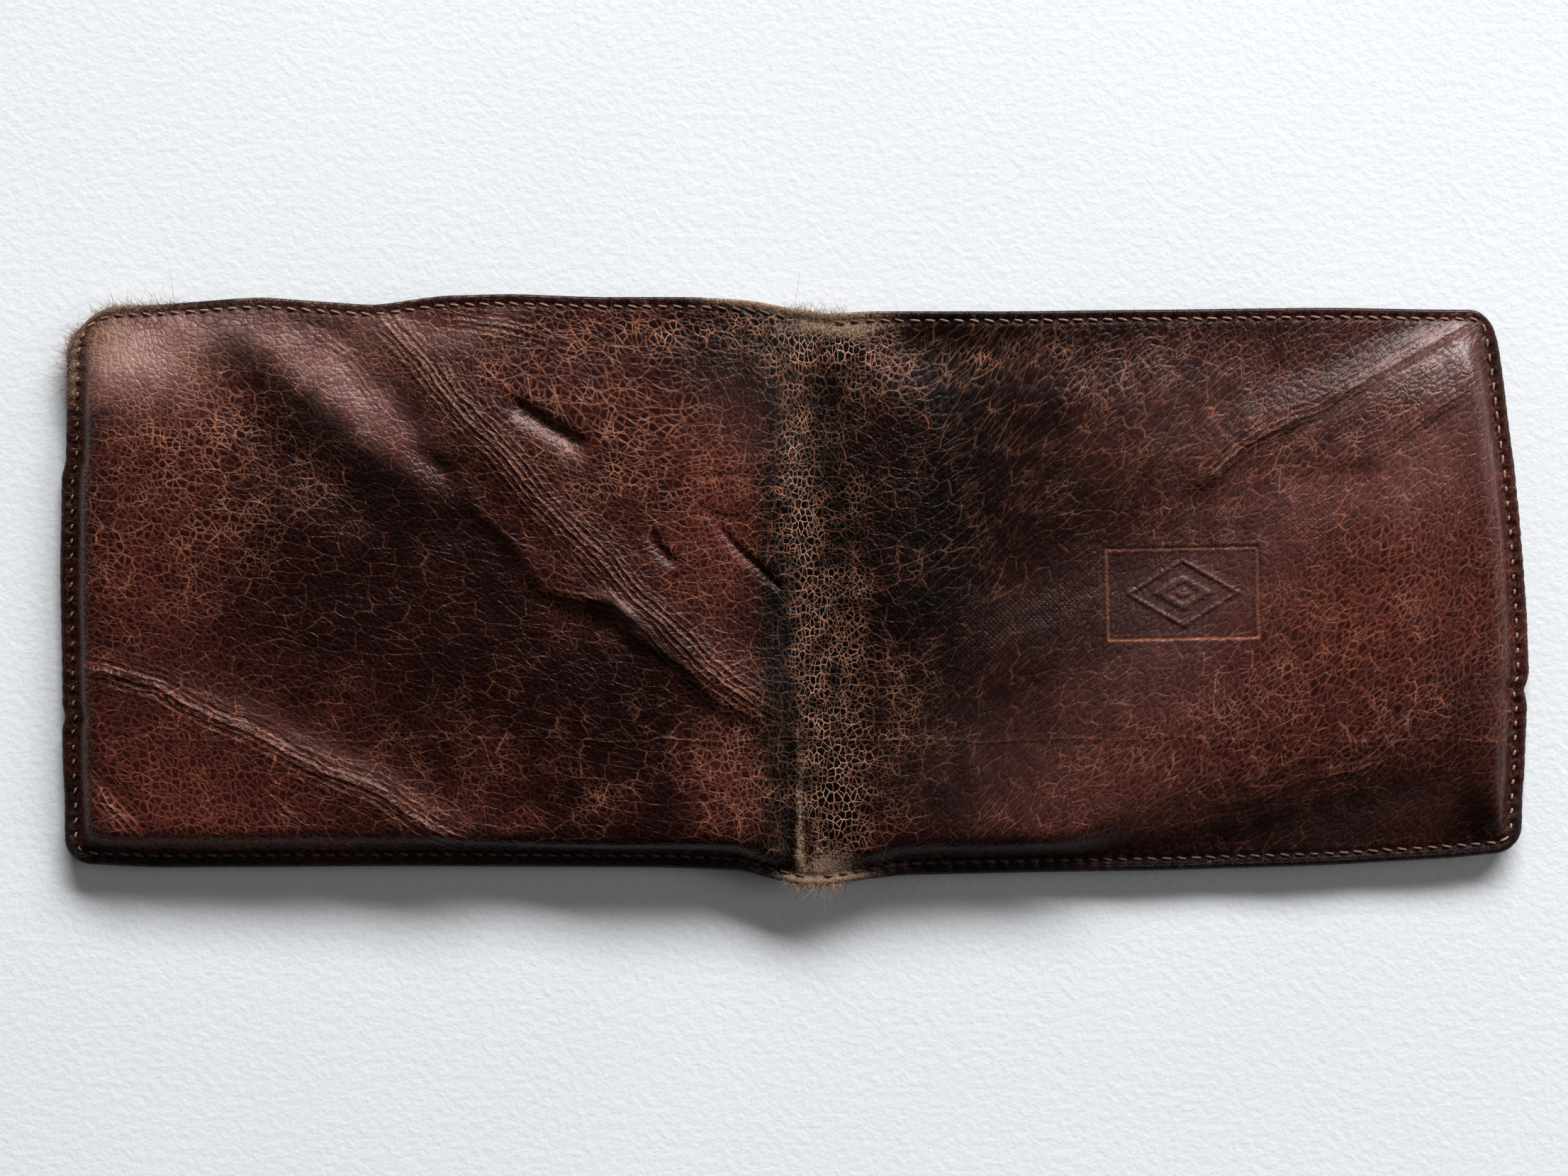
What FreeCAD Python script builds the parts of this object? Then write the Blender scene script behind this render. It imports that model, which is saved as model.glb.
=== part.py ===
"""Bifold wallet lying open with its outside up, in millimetres.

+X runs along the open length, +Y points at the mouth of the note compartment, +Z is up and away
from the card slots, which face down. The origin is the middle of the face it rests on. The cover
is one piece of leather that bends along two lines, one each side of the spine, so the leather,
the lining and the inner wall of the note compartment are each made as left, spine and right parts.
"""
import FreeCAD, Part
import math
import os

import Sketcher
from FreeCAD import Vector

SIZES = [
    ("open_length", 230, "outer edge to outer edge, lying open"),
    ("panel_height", 90, "bottom seam to mouth"),
    ("spine_width", 16, "between the two fold lines"),
    ("spine_shift", 3, "middle of the spine, right of the middle"),
    ("cover_thickness", 1.2, "cover leather"),
    ("stack_depth", 6, "from the cover leather down to the rest face"),
    ("rim_thickness", 1.3, "turned-down edge of the cover"),
    ("corner_radius", 2.5, "outer corners, seen from above"),
    ("edge_radius", 0.9, "rounding along the top of the turned edge"),
    ("groove_radius", 1.1, "clearance round a fold line in the panel's leather"),
    ("fold_clearance", 2.6, "fold line to the layers under a panel's leather"),
    ("spine_inset", 1, "fold line to the layers under the spine's leather"),
    ("slot_thickness", 0.6, "card slot leather"),
    ("slot_gap", 0.3, "between two layers of an empty pocket"),
    ("slot_step", 11, "one slot mouth to the next"),
    ("front_mouth", 0, "mouth of the front slot, above the middle"),
    ("slot_reach", 50, "mouth to the lower end of a slot strip"),
    ("slope_lead", 0.4, "a mouth to the start of the slope over it"),
    ("slope_run", 2, "length of the slope over a mouth"),
    ("slip_thickness", 0.5, "panel that the card slots are sewn to"),
    ("wall_thickness", 0.4, "inner wall of the note compartment"),
    ("wall_drop", 1.3, "inner wall's height above the rest face at the mouth"),
    ("lining_thickness", 0.3, "cloth lining of the cover"),
    ("board_thickness", 0.4, "stiffener between cover and lining"),
    ("board_inset", 1.5, "stiffener's edge inside the seams"),
    ("mouth_inset", 1.5, "lining, wall and slip panel below the cover's top edge"),
    ("spine_gap", 0.4, "note compartment inside the spine"),
    ("stitch_pitch", 2.3, "one stitch to the next"),
    ("stitch_length", 1.6, "thread showing between two holes"),
    ("stitch_width", 0.5, "thread"),
    ("stitch_height", 0.25, "thread standing above the leather"),
    ("stitch_inset", 2.2, "edge to the middle of the stitch row"),
    ("stitch_start", 4, "corner to the first stitch of a row"),
    ("edge_stitches", 36, "stitches along an outer edge"),
    ("left_stitches", 46, "stitches along the left panel's top or bottom"),
    ("right_stitches", 43, "stitches along the right panel's top or bottom"),
    ("spine_stitches", 6, "stitches along the spine's top or bottom"),
]

SLOTS = 4
HALF_LENGTH = "Sizes.open_length / 2"
TOP = "Sizes.panel_height / 2"
BOTTOM = "-Sizes.panel_height / 2"
SEAM = "(Sizes.rim_thickness - Sizes.panel_height / 2)"
MOUTH = "(Sizes.panel_height / 2 - Sizes.mouth_inset)"
COVER_TOP = "(Sizes.stack_depth + Sizes.cover_thickness)"
FOLD_HEIGHT = "(Sizes.stack_depth + Sizes.cover_thickness / 2)"
LAYER = "(Sizes.slot_thickness + Sizes.slot_gap)"
LINING_LEVEL = "(Sizes.stack_depth - Sizes.board_thickness - Sizes.lining_thickness)"
WALL_LEVEL = f"({SLOTS} * {LAYER} + Sizes.slip_thickness + Sizes.slot_gap)"
OVERCUT = 2
TOLERANCE = 0.01
LOOSE_RADIUS = 10
LOOSE_TURN = 0.5


class Side:
    """One panel: its name, the way that it lies from the spine, and its fold line."""

    def __init__(self, name, sign):
        self.name = name
        self.sign = sign
        self.fold = f"(Sizes.spine_shift + {sign} * Sizes.spine_width / 2)"
        self.edge = f"({sign} * {HALF_LENGTH})"
        self.seam = self.inward("Sizes.rim_thickness")
        self.layers = self.outward("Sizes.fold_clearance")
        self.stitches = f"Sizes.{name}_stitches"

    def outward(self, distance):
        """X of a line that lies a distance outside the fold line."""
        return f"({self.fold} + {self.sign} * ({distance}))"

    def inward(self, distance):
        """X of a line that lies a distance inside the panel's outer edge."""
        return f"({self.edge} - {self.sign} * ({distance}))"


SIDES = [Side("left", -1), Side("right", 1)]


def add_sizes(doc):
    """Spreadsheet of the driving sizes, each with its alias and what it measures."""
    sheet = doc.addObject("Spreadsheet::Sheet", "Sizes")
    for row, (name, value, note) in enumerate(SIZES, start=1):
        sheet.set(f"A{row}", name)
        sheet.set(f"B{row}", str(value))
        sheet.set(f"C{row}", note)
        sheet.setAlias(f"B{row}", name)
    doc.recompute()


def add_body(doc, label):
    """Empty body whose label is the node's name."""
    body = doc.addObject("PartDesign::Body", label)
    body.Label = label
    return body


def add_sketch(body, name, role, offset):
    """Empty sketch parallel to one of the body's origin planes, a distance along its normal."""
    sketch = body.newObject("Sketcher::SketchObject", name)
    plane = next(item for item in body.Origin.OriginFeatures if item.Role == role)
    sketch.AttachmentSupport = [(plane, "")]
    sketch.MapMode = "FlatFace"
    sketch.setExpression("AttachmentOffset.Base.z", offset)
    return sketch


def fix_point(sketch, line, start, place):
    """Tie the start of a line to a place given as two expressions."""
    for kind, value, text in zip(("DistanceX", "DistanceY"), start, place):
        index = sketch.addConstraint(Sketcher.Constraint(kind, line, 1, value))
        sketch.setExpression(f"Constraints[{index}]", text)


def add_outline(body, name, role, places, offset="0"):
    """Closed outline of straight lines through places given as pairs of expressions.

    The lines start as a loose ring, turned so that none is level, and the constraints place them.
    """
    sketch = add_sketch(body, name, role, offset)
    count = len(places)
    angles = [LOOSE_TURN + 2 * math.pi * index / count for index in range(count)]
    starts = [(LOOSE_RADIUS * math.cos(angle), LOOSE_RADIUS * math.sin(angle)) for angle in angles]
    for index in range(count):
        following = starts[(index + 1) % count]
        sketch.addGeometry(Part.LineSegment(Vector(*starts[index], 0), Vector(*following, 0)))
    for index in range(count):
        sketch.addConstraint(Sketcher.Constraint("Coincident", index, 2, (index + 1) % count, 1))
    for index in range(count):
        fix_point(sketch, index, starts[index], places[index])
    return sketch


def add_disc(body, name, role, place, radius):
    """Circle round a place given as two expressions."""
    sketch = add_sketch(body, name, role, "0")
    circle = sketch.addGeometry(Part.Circle(Vector(1, 1, 0), Vector(0, 0, 1), 1))
    index = sketch.addConstraint(Sketcher.Constraint("Radius", circle, 1))
    sketch.setExpression(f"Constraints[{index}]", radius)
    for kind, text in zip(("DistanceX", "DistanceY"), place):
        index = sketch.addConstraint(Sketcher.Constraint(kind, circle, 3, 1))
        sketch.setExpression(f"Constraints[{index}]", text)
    return sketch


def rectangle(first, second):
    """Places of a rectangle's corners, from two opposite corners."""
    return [(first[0], first[1]), (second[0], first[1]), (second[0], second[1]), (first[0], second[1])]


def add_pad(body, name, sketch, length, midplane=False):
    """Pad a sketch by an expression's length."""
    pad = body.newObject("PartDesign::Pad", name)
    pad.Profile = sketch
    pad.setExpression("Length", length)
    pad.Midplane = midplane
    return pad


def add_pocket(doc, body, name, sketch, length):
    """Cut along the sketch's normal, and make sure that it took something away."""
    pocket = body.newObject("PartDesign::Pocket", name)
    pocket.Profile = sketch
    pocket.setExpression("Length", length)
    pocket.Reversed = True
    doc.recompute()
    check_cut(body, pocket)


def add_groove_cut(doc, body, name, sketch):
    """Cut a sketch right through the body, both ways."""
    pocket = body.newObject("PartDesign::Pocket", name)
    pocket.Profile = sketch
    pocket.Type = "ThroughAll"
    pocket.Midplane = True
    doc.recompute()
    check_cut(body, pocket)


def check_cut(body, pocket):
    """Stop if a cut has left the volume as it was."""
    if pocket.Shape.Volume >= pocket.BaseFeature.Shape.Volume - TOLERANCE:
        raise RuntimeError(f"{body.Label}: {pocket.Name} cut nothing")


def round_edges(doc, body, name, radius, chosen):
    """Round every edge of the body's shape that the function `chosen` picks by its ends."""
    doc.recompute()
    base = body.Tip
    names = []
    for number, edge in enumerate(base.Shape.Edges, start=1):
        if chosen(edge.BoundBox):
            names.append(f"Edge{number}")
    fillet = body.newObject("PartDesign::Fillet", name)
    fillet.Base = (base, names)
    fillet.setExpression("Radius", radius)
    doc.recompute()


def size_of(doc, alias):
    """Value of a driving size, for picking edges by their place."""
    return float(doc.Sizes.get(alias))


def build_cover(doc, side):
    """Panel of the cover: a tray with its edge turned down at the outer side and the bottom."""
    body = add_body(doc, f"cover_{side.name}")
    plan = rectangle((side.fold, BOTTOM), (side.edge, TOP))
    add_pad(body, "Blank", add_outline(body, "Plan", "XY_Plane", plan), COVER_TOP)
    outer_x = side.sign * size_of(doc, "open_length") / 2
    full_height = size_of(doc, "stack_depth") + size_of(doc, "cover_thickness")

    def is_outer_corner(box):
        upright = box.XLength < TOLERANCE and box.YLength < TOLERANCE
        return upright and abs(box.XMin - outer_x) < TOLERANCE

    round_edges(doc, body, "Corners", "Sizes.corner_radius", is_outer_corner)
    inside = rectangle((side.outward(-OVERCUT), SEAM), (side.seam, f"{TOP} + {OVERCUT}"))
    inside_plan = add_outline(body, "InsidePlan", "XY_Plane", inside)
    add_pocket(doc, body, "Inside", inside_plan, "Sizes.stack_depth")
    low_corner = (side.outward(-OVERCUT), f"{BOTTOM} - {OVERCUT}")
    relief = rectangle(low_corner, (side.layers, f"{TOP} + {OVERCUT}"))
    relief_plan = add_outline(body, "ReliefPlan", "XY_Plane", relief)
    add_pocket(doc, body, "Relief", relief_plan, "Sizes.stack_depth")
    disc = add_disc(body, "GrooveEnd", "XZ_Plane", (side.fold, FOLD_HEIGHT), "Sizes.groove_radius")
    add_groove_cut(doc, body, "Groove", disc)
    fold_x = size_of(doc, "spine_shift") + side.sign * size_of(doc, "spine_width") / 2
    clearance = size_of(doc, "fold_clearance")

    def is_top_edge(box):
        level = abs(box.ZMin - full_height) < TOLERANCE and box.ZLength < TOLERANCE
        return level and max(abs(box.XMin - fold_x), abs(box.XMax - fold_x)) > clearance

    round_edges(doc, body, "TurnedEdge", "Sizes.edge_radius", is_top_edge)
    return body


def build_cover_spine(doc):
    """Strip of the cover between the fold lines, with a full-round edge along each of them."""
    body = add_body(doc, "cover_spine")
    strip = rectangle((SIDES[0].fold, "Sizes.stack_depth"), (SIDES[1].fold, COVER_TOP))
    add_pad(body, "Strip", add_outline(body, "Section", "XZ_Plane", strip), "Sizes.panel_height", True)
    for side in SIDES:
        place = (side.fold, FOLD_HEIGHT)
        disc = add_disc(body, f"{side.name.title()}Bead", "XZ_Plane", place, "Sizes.cover_thickness / 2")
        add_pad(body, f"{side.name.title()}Edge", disc, "Sizes.panel_height", True)
    return body


def stepped_line(start, end, mouths):
    """Underside of a sheet that comes down one layer past each mouth in front of it."""
    level = len(mouths)
    line = [(start, f"{level} * {LAYER}")]
    for mouth in mouths:
        line.append((f"{mouth} + Sizes.slope_lead", f"{level} * {LAYER}"))
        level -= 1
        line.append((f"{mouth} + Sizes.slope_lead + Sizes.slope_run", f"{level} * {LAYER}"))
    line.append((end, "0"))
    return line


def thicken(line, thickness):
    """Outline of a sheet whose underside is the line, with its thickness measured upwards."""
    upper = [(along, f"{height} + {thickness}") for along, height in reversed(line)]
    return line + upper


def slot_mouth(number):
    """Y of a card slot's mouth. Slot 1 is at the back and slot 4, the front one, is lowest."""
    return f"(Sizes.front_mouth + {SLOTS - number} * Sizes.slot_step)"


def mouths_in_front(number):
    """Mouths of the slots in front of one, from the front."""
    return [slot_mouth(other) for other in range(SLOTS, number, -1)]


def build_sheet(doc, label, outline, x_from, x_to):
    """Sheet with the given outline in the YZ plane, carried along X."""
    body = add_body(doc, label)
    sketch = add_outline(body, "Section", "YZ_Plane", outline, x_from)
    add_pad(body, "Sheet", sketch, f"{x_to} - {x_from}")
    return body


def build_panel_sheet(doc, label, outline, side):
    """Sheet that runs from the layers' edge near the fold to the turned edge of the cover."""
    ends = [side.layers, side.seam]
    return build_sheet(doc, label, outline, ends[side.sign < 0], ends[side.sign > 0])


def build_card_slots(doc, side):
    """Slots one behind another, each with its mouth one step above the one in front."""
    slots = []
    for number in range(1, SLOTS + 1):
        mouth = slot_mouth(number)
        lower_end = SEAM if number == SLOTS else f"({mouth} - Sizes.slot_reach)"
        line = stepped_line(lower_end, mouth, mouths_in_front(number))
        outline = thicken(line, "Sizes.slot_thickness")
        slots.append(build_panel_sheet(doc, f"card_slot_{side.name}_{number}", outline, side))
    return slots


def build_slip_panel(doc, side):
    """Panel behind the card slots, which shows above the topmost one."""
    outline = thicken(stepped_line(SEAM, MOUTH, mouths_in_front(0)), "Sizes.slip_thickness")
    return build_panel_sheet(doc, f"slip_panel_{side.name}", outline, side)


def build_note_wall(doc, side):
    """Inner wall of the note compartment, which opens it towards the mouth."""
    lead = f"{slot_mouth(SLOTS)} + Sizes.slope_lead"
    slope_end = f"{slot_mouth(1)} + Sizes.slope_lead + Sizes.slope_run"
    mouth_level = "Sizes.wall_drop"
    line = [(SEAM, WALL_LEVEL), (lead, WALL_LEVEL), (slope_end, mouth_level), (MOUTH, mouth_level)]
    outline = thicken(line, "Sizes.wall_thickness")
    return build_panel_sheet(doc, f"bill_divider_{side.name}", outline, side)


def build_lining(doc, side):
    """Cloth glued inside the cover, over the board."""
    line = [(SEAM, LINING_LEVEL), (MOUTH, LINING_LEVEL)]
    outline = thicken(line, "Sizes.lining_thickness")
    return build_panel_sheet(doc, f"bill_lining_{side.name}", outline, side)


def build_stiffener(doc, side):
    """Board sealed between the cover and the lining, short of every seam."""
    level = "Sizes.stack_depth - Sizes.board_thickness"
    line = [(f"{SEAM} + Sizes.board_inset", level), (f"{MOUTH} - Sizes.board_inset", level)]
    near = side.outward("Sizes.fold_clearance + Sizes.board_inset")
    far = side.inward("Sizes.rim_thickness + Sizes.board_inset")
    ends = [near, far]
    outline = thicken(line, "Sizes.board_thickness")
    left_end, right_end = ends[side.sign < 0], ends[side.sign > 0]
    return build_sheet(doc, f"stiffener_{side.name}", outline, left_end, right_end)


def build_spine_layers(doc):
    """Lining and inner wall where they cross the spine, tucked up close to its leather."""
    near = f"({SIDES[0].fold} + Sizes.spine_inset)"
    far = f"({SIDES[1].fold} - Sizes.spine_inset)"
    lining_level = "Sizes.stack_depth - Sizes.lining_thickness"
    wall_level = f"{lining_level} - Sizes.spine_gap - Sizes.wall_thickness"
    lining = thicken([(SEAM, lining_level), (MOUTH, lining_level)], "Sizes.lining_thickness")
    wall = thicken([(SEAM, wall_level), (MOUTH, wall_level)], "Sizes.wall_thickness")
    return [
        build_sheet(doc, "bill_lining_spine", lining, near, far),
        build_sheet(doc, "bill_divider_spine", wall, near, far),
    ]


def add_stitch_row(body, name, first, size, axis, count, backwards):
    """Row of equal stitches from the middle of the first one, along one sketch axis."""
    low = (f"{first[0]} - {size[0]} / 2", f"{first[1]} - {size[1]} / 2")
    high = (f"{first[0]} + {size[0]} / 2", f"{first[1]} + {size[1]} / 2")
    sketch = add_outline(body, f"{name}Plan", "XY_Plane", rectangle(low, high), COVER_TOP)
    pad = add_pad(body, f"{name}Stitch", sketch, "Sizes.stitch_height")
    row = body.newObject("PartDesign::LinearPattern", f"{name}Row")
    row.Originals = [pad]
    row.Direction = (sketch, [axis])
    row.Mode = "Spacing"
    row.Reversed = backwards
    row.setExpression("Offset", "Sizes.stitch_pitch")
    row.setExpression("Occurrences", count)
    body.Tip = row


LENGTHWAYS = ("Sizes.stitch_length", "Sizes.stitch_width")
CROSSWAYS = ("Sizes.stitch_width", "Sizes.stitch_length")
ROWS = [("Bottom", f"({BOTTOM} + Sizes.stitch_inset)"), ("Top", f"({TOP} - Sizes.stitch_inset)")]


def build_edge_stitching(doc, side):
    """Stitches along a panel's bottom, top and outer edge, each a separate solid."""
    body = add_body(doc, f"edge_stitching_{side.name}")
    body.AllowCompound = True
    start = side.inward("Sizes.stitch_start")
    for name, height in ROWS:
        first = (start, height)
        add_stitch_row(body, name, first, LENGTHWAYS, "H_Axis", side.stitches, side.sign > 0)
    lowest = f"({BOTTOM} + Sizes.stitch_start + Sizes.stitch_pitch / 4)"
    first = (side.inward("Sizes.stitch_inset"), lowest)
    add_stitch_row(body, "Side", first, CROSSWAYS, "V_Axis", "Sizes.edge_stitches", False)
    return body


def build_spine_stitching(doc):
    """Stitches across the top and bottom of the spine."""
    body = add_body(doc, "spine_stitching")
    body.AllowCompound = True
    start = f"({SIDES[0].fold} + Sizes.stitch_pitch)"
    for name, height in ROWS:
        first = (start, height)
        add_stitch_row(body, name, first, LENGTHWAYS, "H_Axis", "Sizes.spine_stitches", False)
    return body


def build_wallet(doc):
    """Every part of the wallet, spine first."""
    parts = [build_cover_spine(doc)]
    parts.extend(build_spine_layers(doc))
    parts.append(build_spine_stitching(doc))
    for side in SIDES:
        parts.append(build_cover(doc, side))
        parts.append(build_stiffener(doc, side))
        parts.append(build_lining(doc, side))
        parts.append(build_note_wall(doc, side))
        parts.append(build_slip_panel(doc, side))
        parts.extend(build_card_slots(doc, side))
        parts.append(build_edge_stitching(doc, side))
    return parts


def check_document(doc, parts):
    """Stop if a feature has failed or a part has no valid solid."""
    for item in doc.Objects:
        if {"Invalid", "Error"} & set(item.State):
            raise RuntimeError(f"{item.Label} failed: {item.State}")
    for part in parts:
        if part.Shape.isNull() or not part.Shape.isValid() or not part.Shape.Solids:
            raise RuntimeError(f"{part.Label} has no valid solid")


def export_parts(parts):
    """Write one STEP file for each part and list its box and volume."""
    os.makedirs("parts", exist_ok=True)
    for part in parts:
        part.Shape.exportStep(f"parts/{part.Label}.step")
        box = part.Shape.BoundBox
        low = f"{box.XMin:8.2f} {box.YMin:7.2f} {box.ZMin:6.2f}"
        high = f"{box.XMax:8.2f} {box.YMax:7.2f} {box.ZMax:6.2f}"
        count, volume = len(part.Shape.Solids), part.Shape.Volume
        print(f"{part.Label:24s} {count:4d} {low} {high} {volume:10.1f}")


def main():
    """Make the document, check it and export its parts."""
    doc = FreeCAD.newDocument("bifold_wallet")
    add_sizes(doc)
    parts = build_wallet(doc)
    doc.recompute()
    check_document(doc, parts)
    export_parts(parts)


main()
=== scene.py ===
"""Looks of a worn leather bifold wallet that lies open, outside up, on a pale table.

Lengths inside the classes are millimetres in the frame's own axes; meshes are written in metres.
The leather is one surface in two halves that meet on the spine's middle line.
Every layer under it is pressed by the same slump as the leather on top.
"""
import logging
from dataclasses import dataclass
from enum import Enum
from typing import Any, Iterable, Sequence

import bpy
import numpy as np
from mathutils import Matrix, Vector


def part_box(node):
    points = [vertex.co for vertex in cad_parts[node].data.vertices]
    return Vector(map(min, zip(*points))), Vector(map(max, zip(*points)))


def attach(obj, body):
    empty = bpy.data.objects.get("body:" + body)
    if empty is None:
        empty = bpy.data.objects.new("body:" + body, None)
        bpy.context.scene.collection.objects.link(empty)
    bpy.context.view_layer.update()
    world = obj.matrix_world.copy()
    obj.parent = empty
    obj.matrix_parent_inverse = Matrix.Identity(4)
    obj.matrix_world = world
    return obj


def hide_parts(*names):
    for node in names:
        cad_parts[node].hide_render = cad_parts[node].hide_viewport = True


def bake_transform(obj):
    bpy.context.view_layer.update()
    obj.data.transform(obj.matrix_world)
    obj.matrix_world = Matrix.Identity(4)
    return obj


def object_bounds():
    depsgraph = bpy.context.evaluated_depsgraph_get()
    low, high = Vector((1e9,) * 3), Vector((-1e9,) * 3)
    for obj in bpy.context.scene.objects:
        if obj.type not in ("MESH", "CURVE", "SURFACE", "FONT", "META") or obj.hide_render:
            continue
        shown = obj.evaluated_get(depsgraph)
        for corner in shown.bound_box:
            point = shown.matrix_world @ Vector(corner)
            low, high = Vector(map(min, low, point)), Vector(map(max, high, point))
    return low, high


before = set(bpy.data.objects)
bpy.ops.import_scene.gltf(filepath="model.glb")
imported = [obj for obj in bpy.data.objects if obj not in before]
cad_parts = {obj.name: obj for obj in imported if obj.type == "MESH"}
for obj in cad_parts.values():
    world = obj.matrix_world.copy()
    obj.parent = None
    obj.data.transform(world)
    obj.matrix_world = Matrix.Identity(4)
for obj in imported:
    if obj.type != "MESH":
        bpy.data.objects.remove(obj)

LOG = logging.getLogger("wallet")
CAD_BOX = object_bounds()
MM = 0.001
SLOT_COUNT = 4
SEAM_INSET = 0.95
SEAM_PITCH = 2.3
Grid = np.ndarray
Point = tuple[float, float]
Corner = tuple[float, ...]
Colour = tuple[float, float, float]


class Body(Enum):
    """The rigid bodies of the frame."""

    LEFT = "left_panel"
    SPINE = "spine"
    RIGHT = "right_panel"


class Slot(Enum):
    """The record's material slots."""

    COVER = "cover_leather"
    POCKET = "pocket_leather"
    LINING = "lining_cloth"
    BOARD = "stiffener_board"
    THREAD = "thread"


# ---------------------------------------------------------------- numbers on grids


def box_of(node: str) -> tuple[Corner, Corner]:
    """Lowest and highest corner of a node's box in the frame, in millimetres, to a tenth."""
    low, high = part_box(node)
    return tuple(round(part / MM, 1) for part in low), tuple(round(part / MM, 1) for part in high)


def smoothstep(value: Grid, low: float, high: float) -> Grid:
    """Smooth ramp from 0 at low to 1 at high.

    Args:
        value: where the ramp is wanted.
        low: value at which it starts.
        high: value at which it is full.

    Returns:
        t * t * (3 - 2 t) of the clipped share t of the way from low to high.
    """
    share = np.clip((value - low) / (high - low), 0.0, 1.0)
    return share * share * (3.0 - 2.0 * share)


def ripple(x: Grid, y: Grid, length: float, seed: int) -> Grid:
    """Smooth random waves about zero.

    Args:
        x: first coordinate.
        y: second coordinate.
        length: usual distance from crest to crest.
        seed: which set of waves.

    Returns:
        Sum of ten cosines with random directions and phases, scaled to about -1 to 1.
    """
    draw = np.random.default_rng(seed)
    total = np.zeros_like(x)
    angles, phases = draw.uniform(0, np.pi, 10), draw.uniform(0, 6.28, 10)
    for angle, phase, stretch in zip(angles, phases, draw.uniform(0.7, 1.4, 10)):
        turn = 2 * np.pi * stretch / length
        total += np.cos(turn * (x * np.cos(angle) + y * np.sin(angle)) + phase)
    return total / 4.5


def soft_curve(points: Sequence[Point], at: Grid, softness: float = 2.0) -> Grid:
    """Curve through a few points, with its corners rounded.

    Args:
        points: places along and values, in rising order.
        at: places where the value is wanted.
        softness: width of the rounding at each point.

    Returns:
        The straight-line interpolation, averaged with a bell-shaped weight.
    """
    along, value = np.array(points, float).T
    steps = np.linspace(-2, 2, 13)
    weights = np.exp(-steps**2)
    total = sum(w * np.interp(at + s * softness, along, value) for w, s in zip(weights, steps))
    return total / weights.sum()


def blob(x: Grid, y: Grid, centre: Point, size: Point, turn: float = 0.0) -> Grid:
    """Soft oval patch: 1 at its centre, falling off as a bell with the given half-axes.

    Args:
        x: first coordinate.
        y: second coordinate.
        centre: middle of the patch.
        size: half-axes.
        turn: anticlockwise angle of the first half-axis, in degrees.

    Returns:
        exp(-r * r), with r the distance from the centre in half-axes.
    """
    angle = np.radians(turn)
    dx, dy = x - centre[0], y - centre[1]
    first = (dx * np.cos(angle) + dy * np.sin(angle)) / size[0]
    second = (dy * np.cos(angle) - dx * np.sin(angle)) / size[1]
    return np.exp(-(first**2 + second**2))


def along_path(x: Grid, y: Grid, path: Sequence[Point]) -> tuple[Grid, Grid, float]:
    """Place of every point beside a path of straight runs.

    Args:
        x: first coordinate.
        y: second coordinate.
        path: the path's corners.

    Returns:
        Signed distance to the nearest run, distance along the path, and the path's length.
    """
    best = np.full(x.shape, np.inf)
    along = np.zeros_like(x)
    side = np.zeros_like(x)
    done = 0.0
    for start, end in zip(path[:-1], path[1:]):
        run = np.array(end, float) - start
        length = float(np.hypot(*run))
        share = np.clip(((x - start[0]) * run[0] + (y - start[1]) * run[1]) / length**2, 0, 1)
        dx, dy = x - start[0] - share * run[0], y - start[1] - share * run[1]
        far = np.hypot(dx, dy)
        nearer = far < best
        best = np.where(nearer, far, best)
        side = np.where(nearer, np.where(run[0] * dy - run[1] * dx < 0, -far, far), side)
        along = np.where(nearer, done + share * length, along)
        done += length
    return side, along, done


# ---------------------------------------------------------------- creases and dents


@dataclass(frozen=True)
class Fold:
    """Rounded rise or hollow along a path, steeper on one side than on the other.

    Left and right are as seen when walking along the path.
    """

    path: tuple[Point, ...]
    height: float
    left_width: float
    right_width: float
    fade: float = 8.0
    wander: float = 0.4

    def relief(self, x: Grid, y: Grid) -> Grid:
        """Height: a bell across the path, with a width of its own on each side, faded to both ends."""
        side, along, length = along_path(x, y, self.path)
        side = side + self.wander * (np.sin(along * 0.42) + 0.6 * np.sin(along * 0.17 + 1.7))
        reach = min(self.fade, 0.45 * length)
        ends = smoothstep(along, 0, reach) * smoothstep(length - along, 0, reach)
        share = side / np.where(side > 0, self.left_width, self.right_width)
        return self.height * ends * np.exp(-(share**2))


@dataclass(frozen=True)
class Crease:
    """Bundle of ridges along a path, as leather keeps after it has been folded there."""

    path: tuple[Point, ...]
    width: float
    height: float
    pitch: float
    fine: float = 1.0
    rope: float = 0.0
    fade: float = 9.0

    def place(self, x: Grid, y: Grid) -> tuple[Grid, Grid, Grid]:
        """Distance across, distance along and strength, which is a bell across the path."""
        side, along, length = along_path(x, y, self.path)
        across = side + 0.2 * (np.sin(along * 0.32) + 0.8 * np.sin(along * 0.13 + 1.7))
        reach = min(self.fade, 0.45 * length)
        ends = smoothstep(along, 0, reach) * smoothstep(length - along, 0, reach)
        return across, along, ends * np.exp(-((across / self.width) ** 2))

    def relief(self, x: Grid, y: Grid) -> Grid:
        """Height: the strength times waves across the path, twisted like a rope where asked."""
        across, along, strength = self.place(x, y)
        waves = np.cos(2 * np.pi * across / self.pitch + 0.9 * np.sin(along * 0.33))
        twist = self.rope * np.cos(2 * np.pi * (along + 0.9 * across) / 2.1)
        return self.height * strength * (0.3 + 0.7 * waves + twist)


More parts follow.
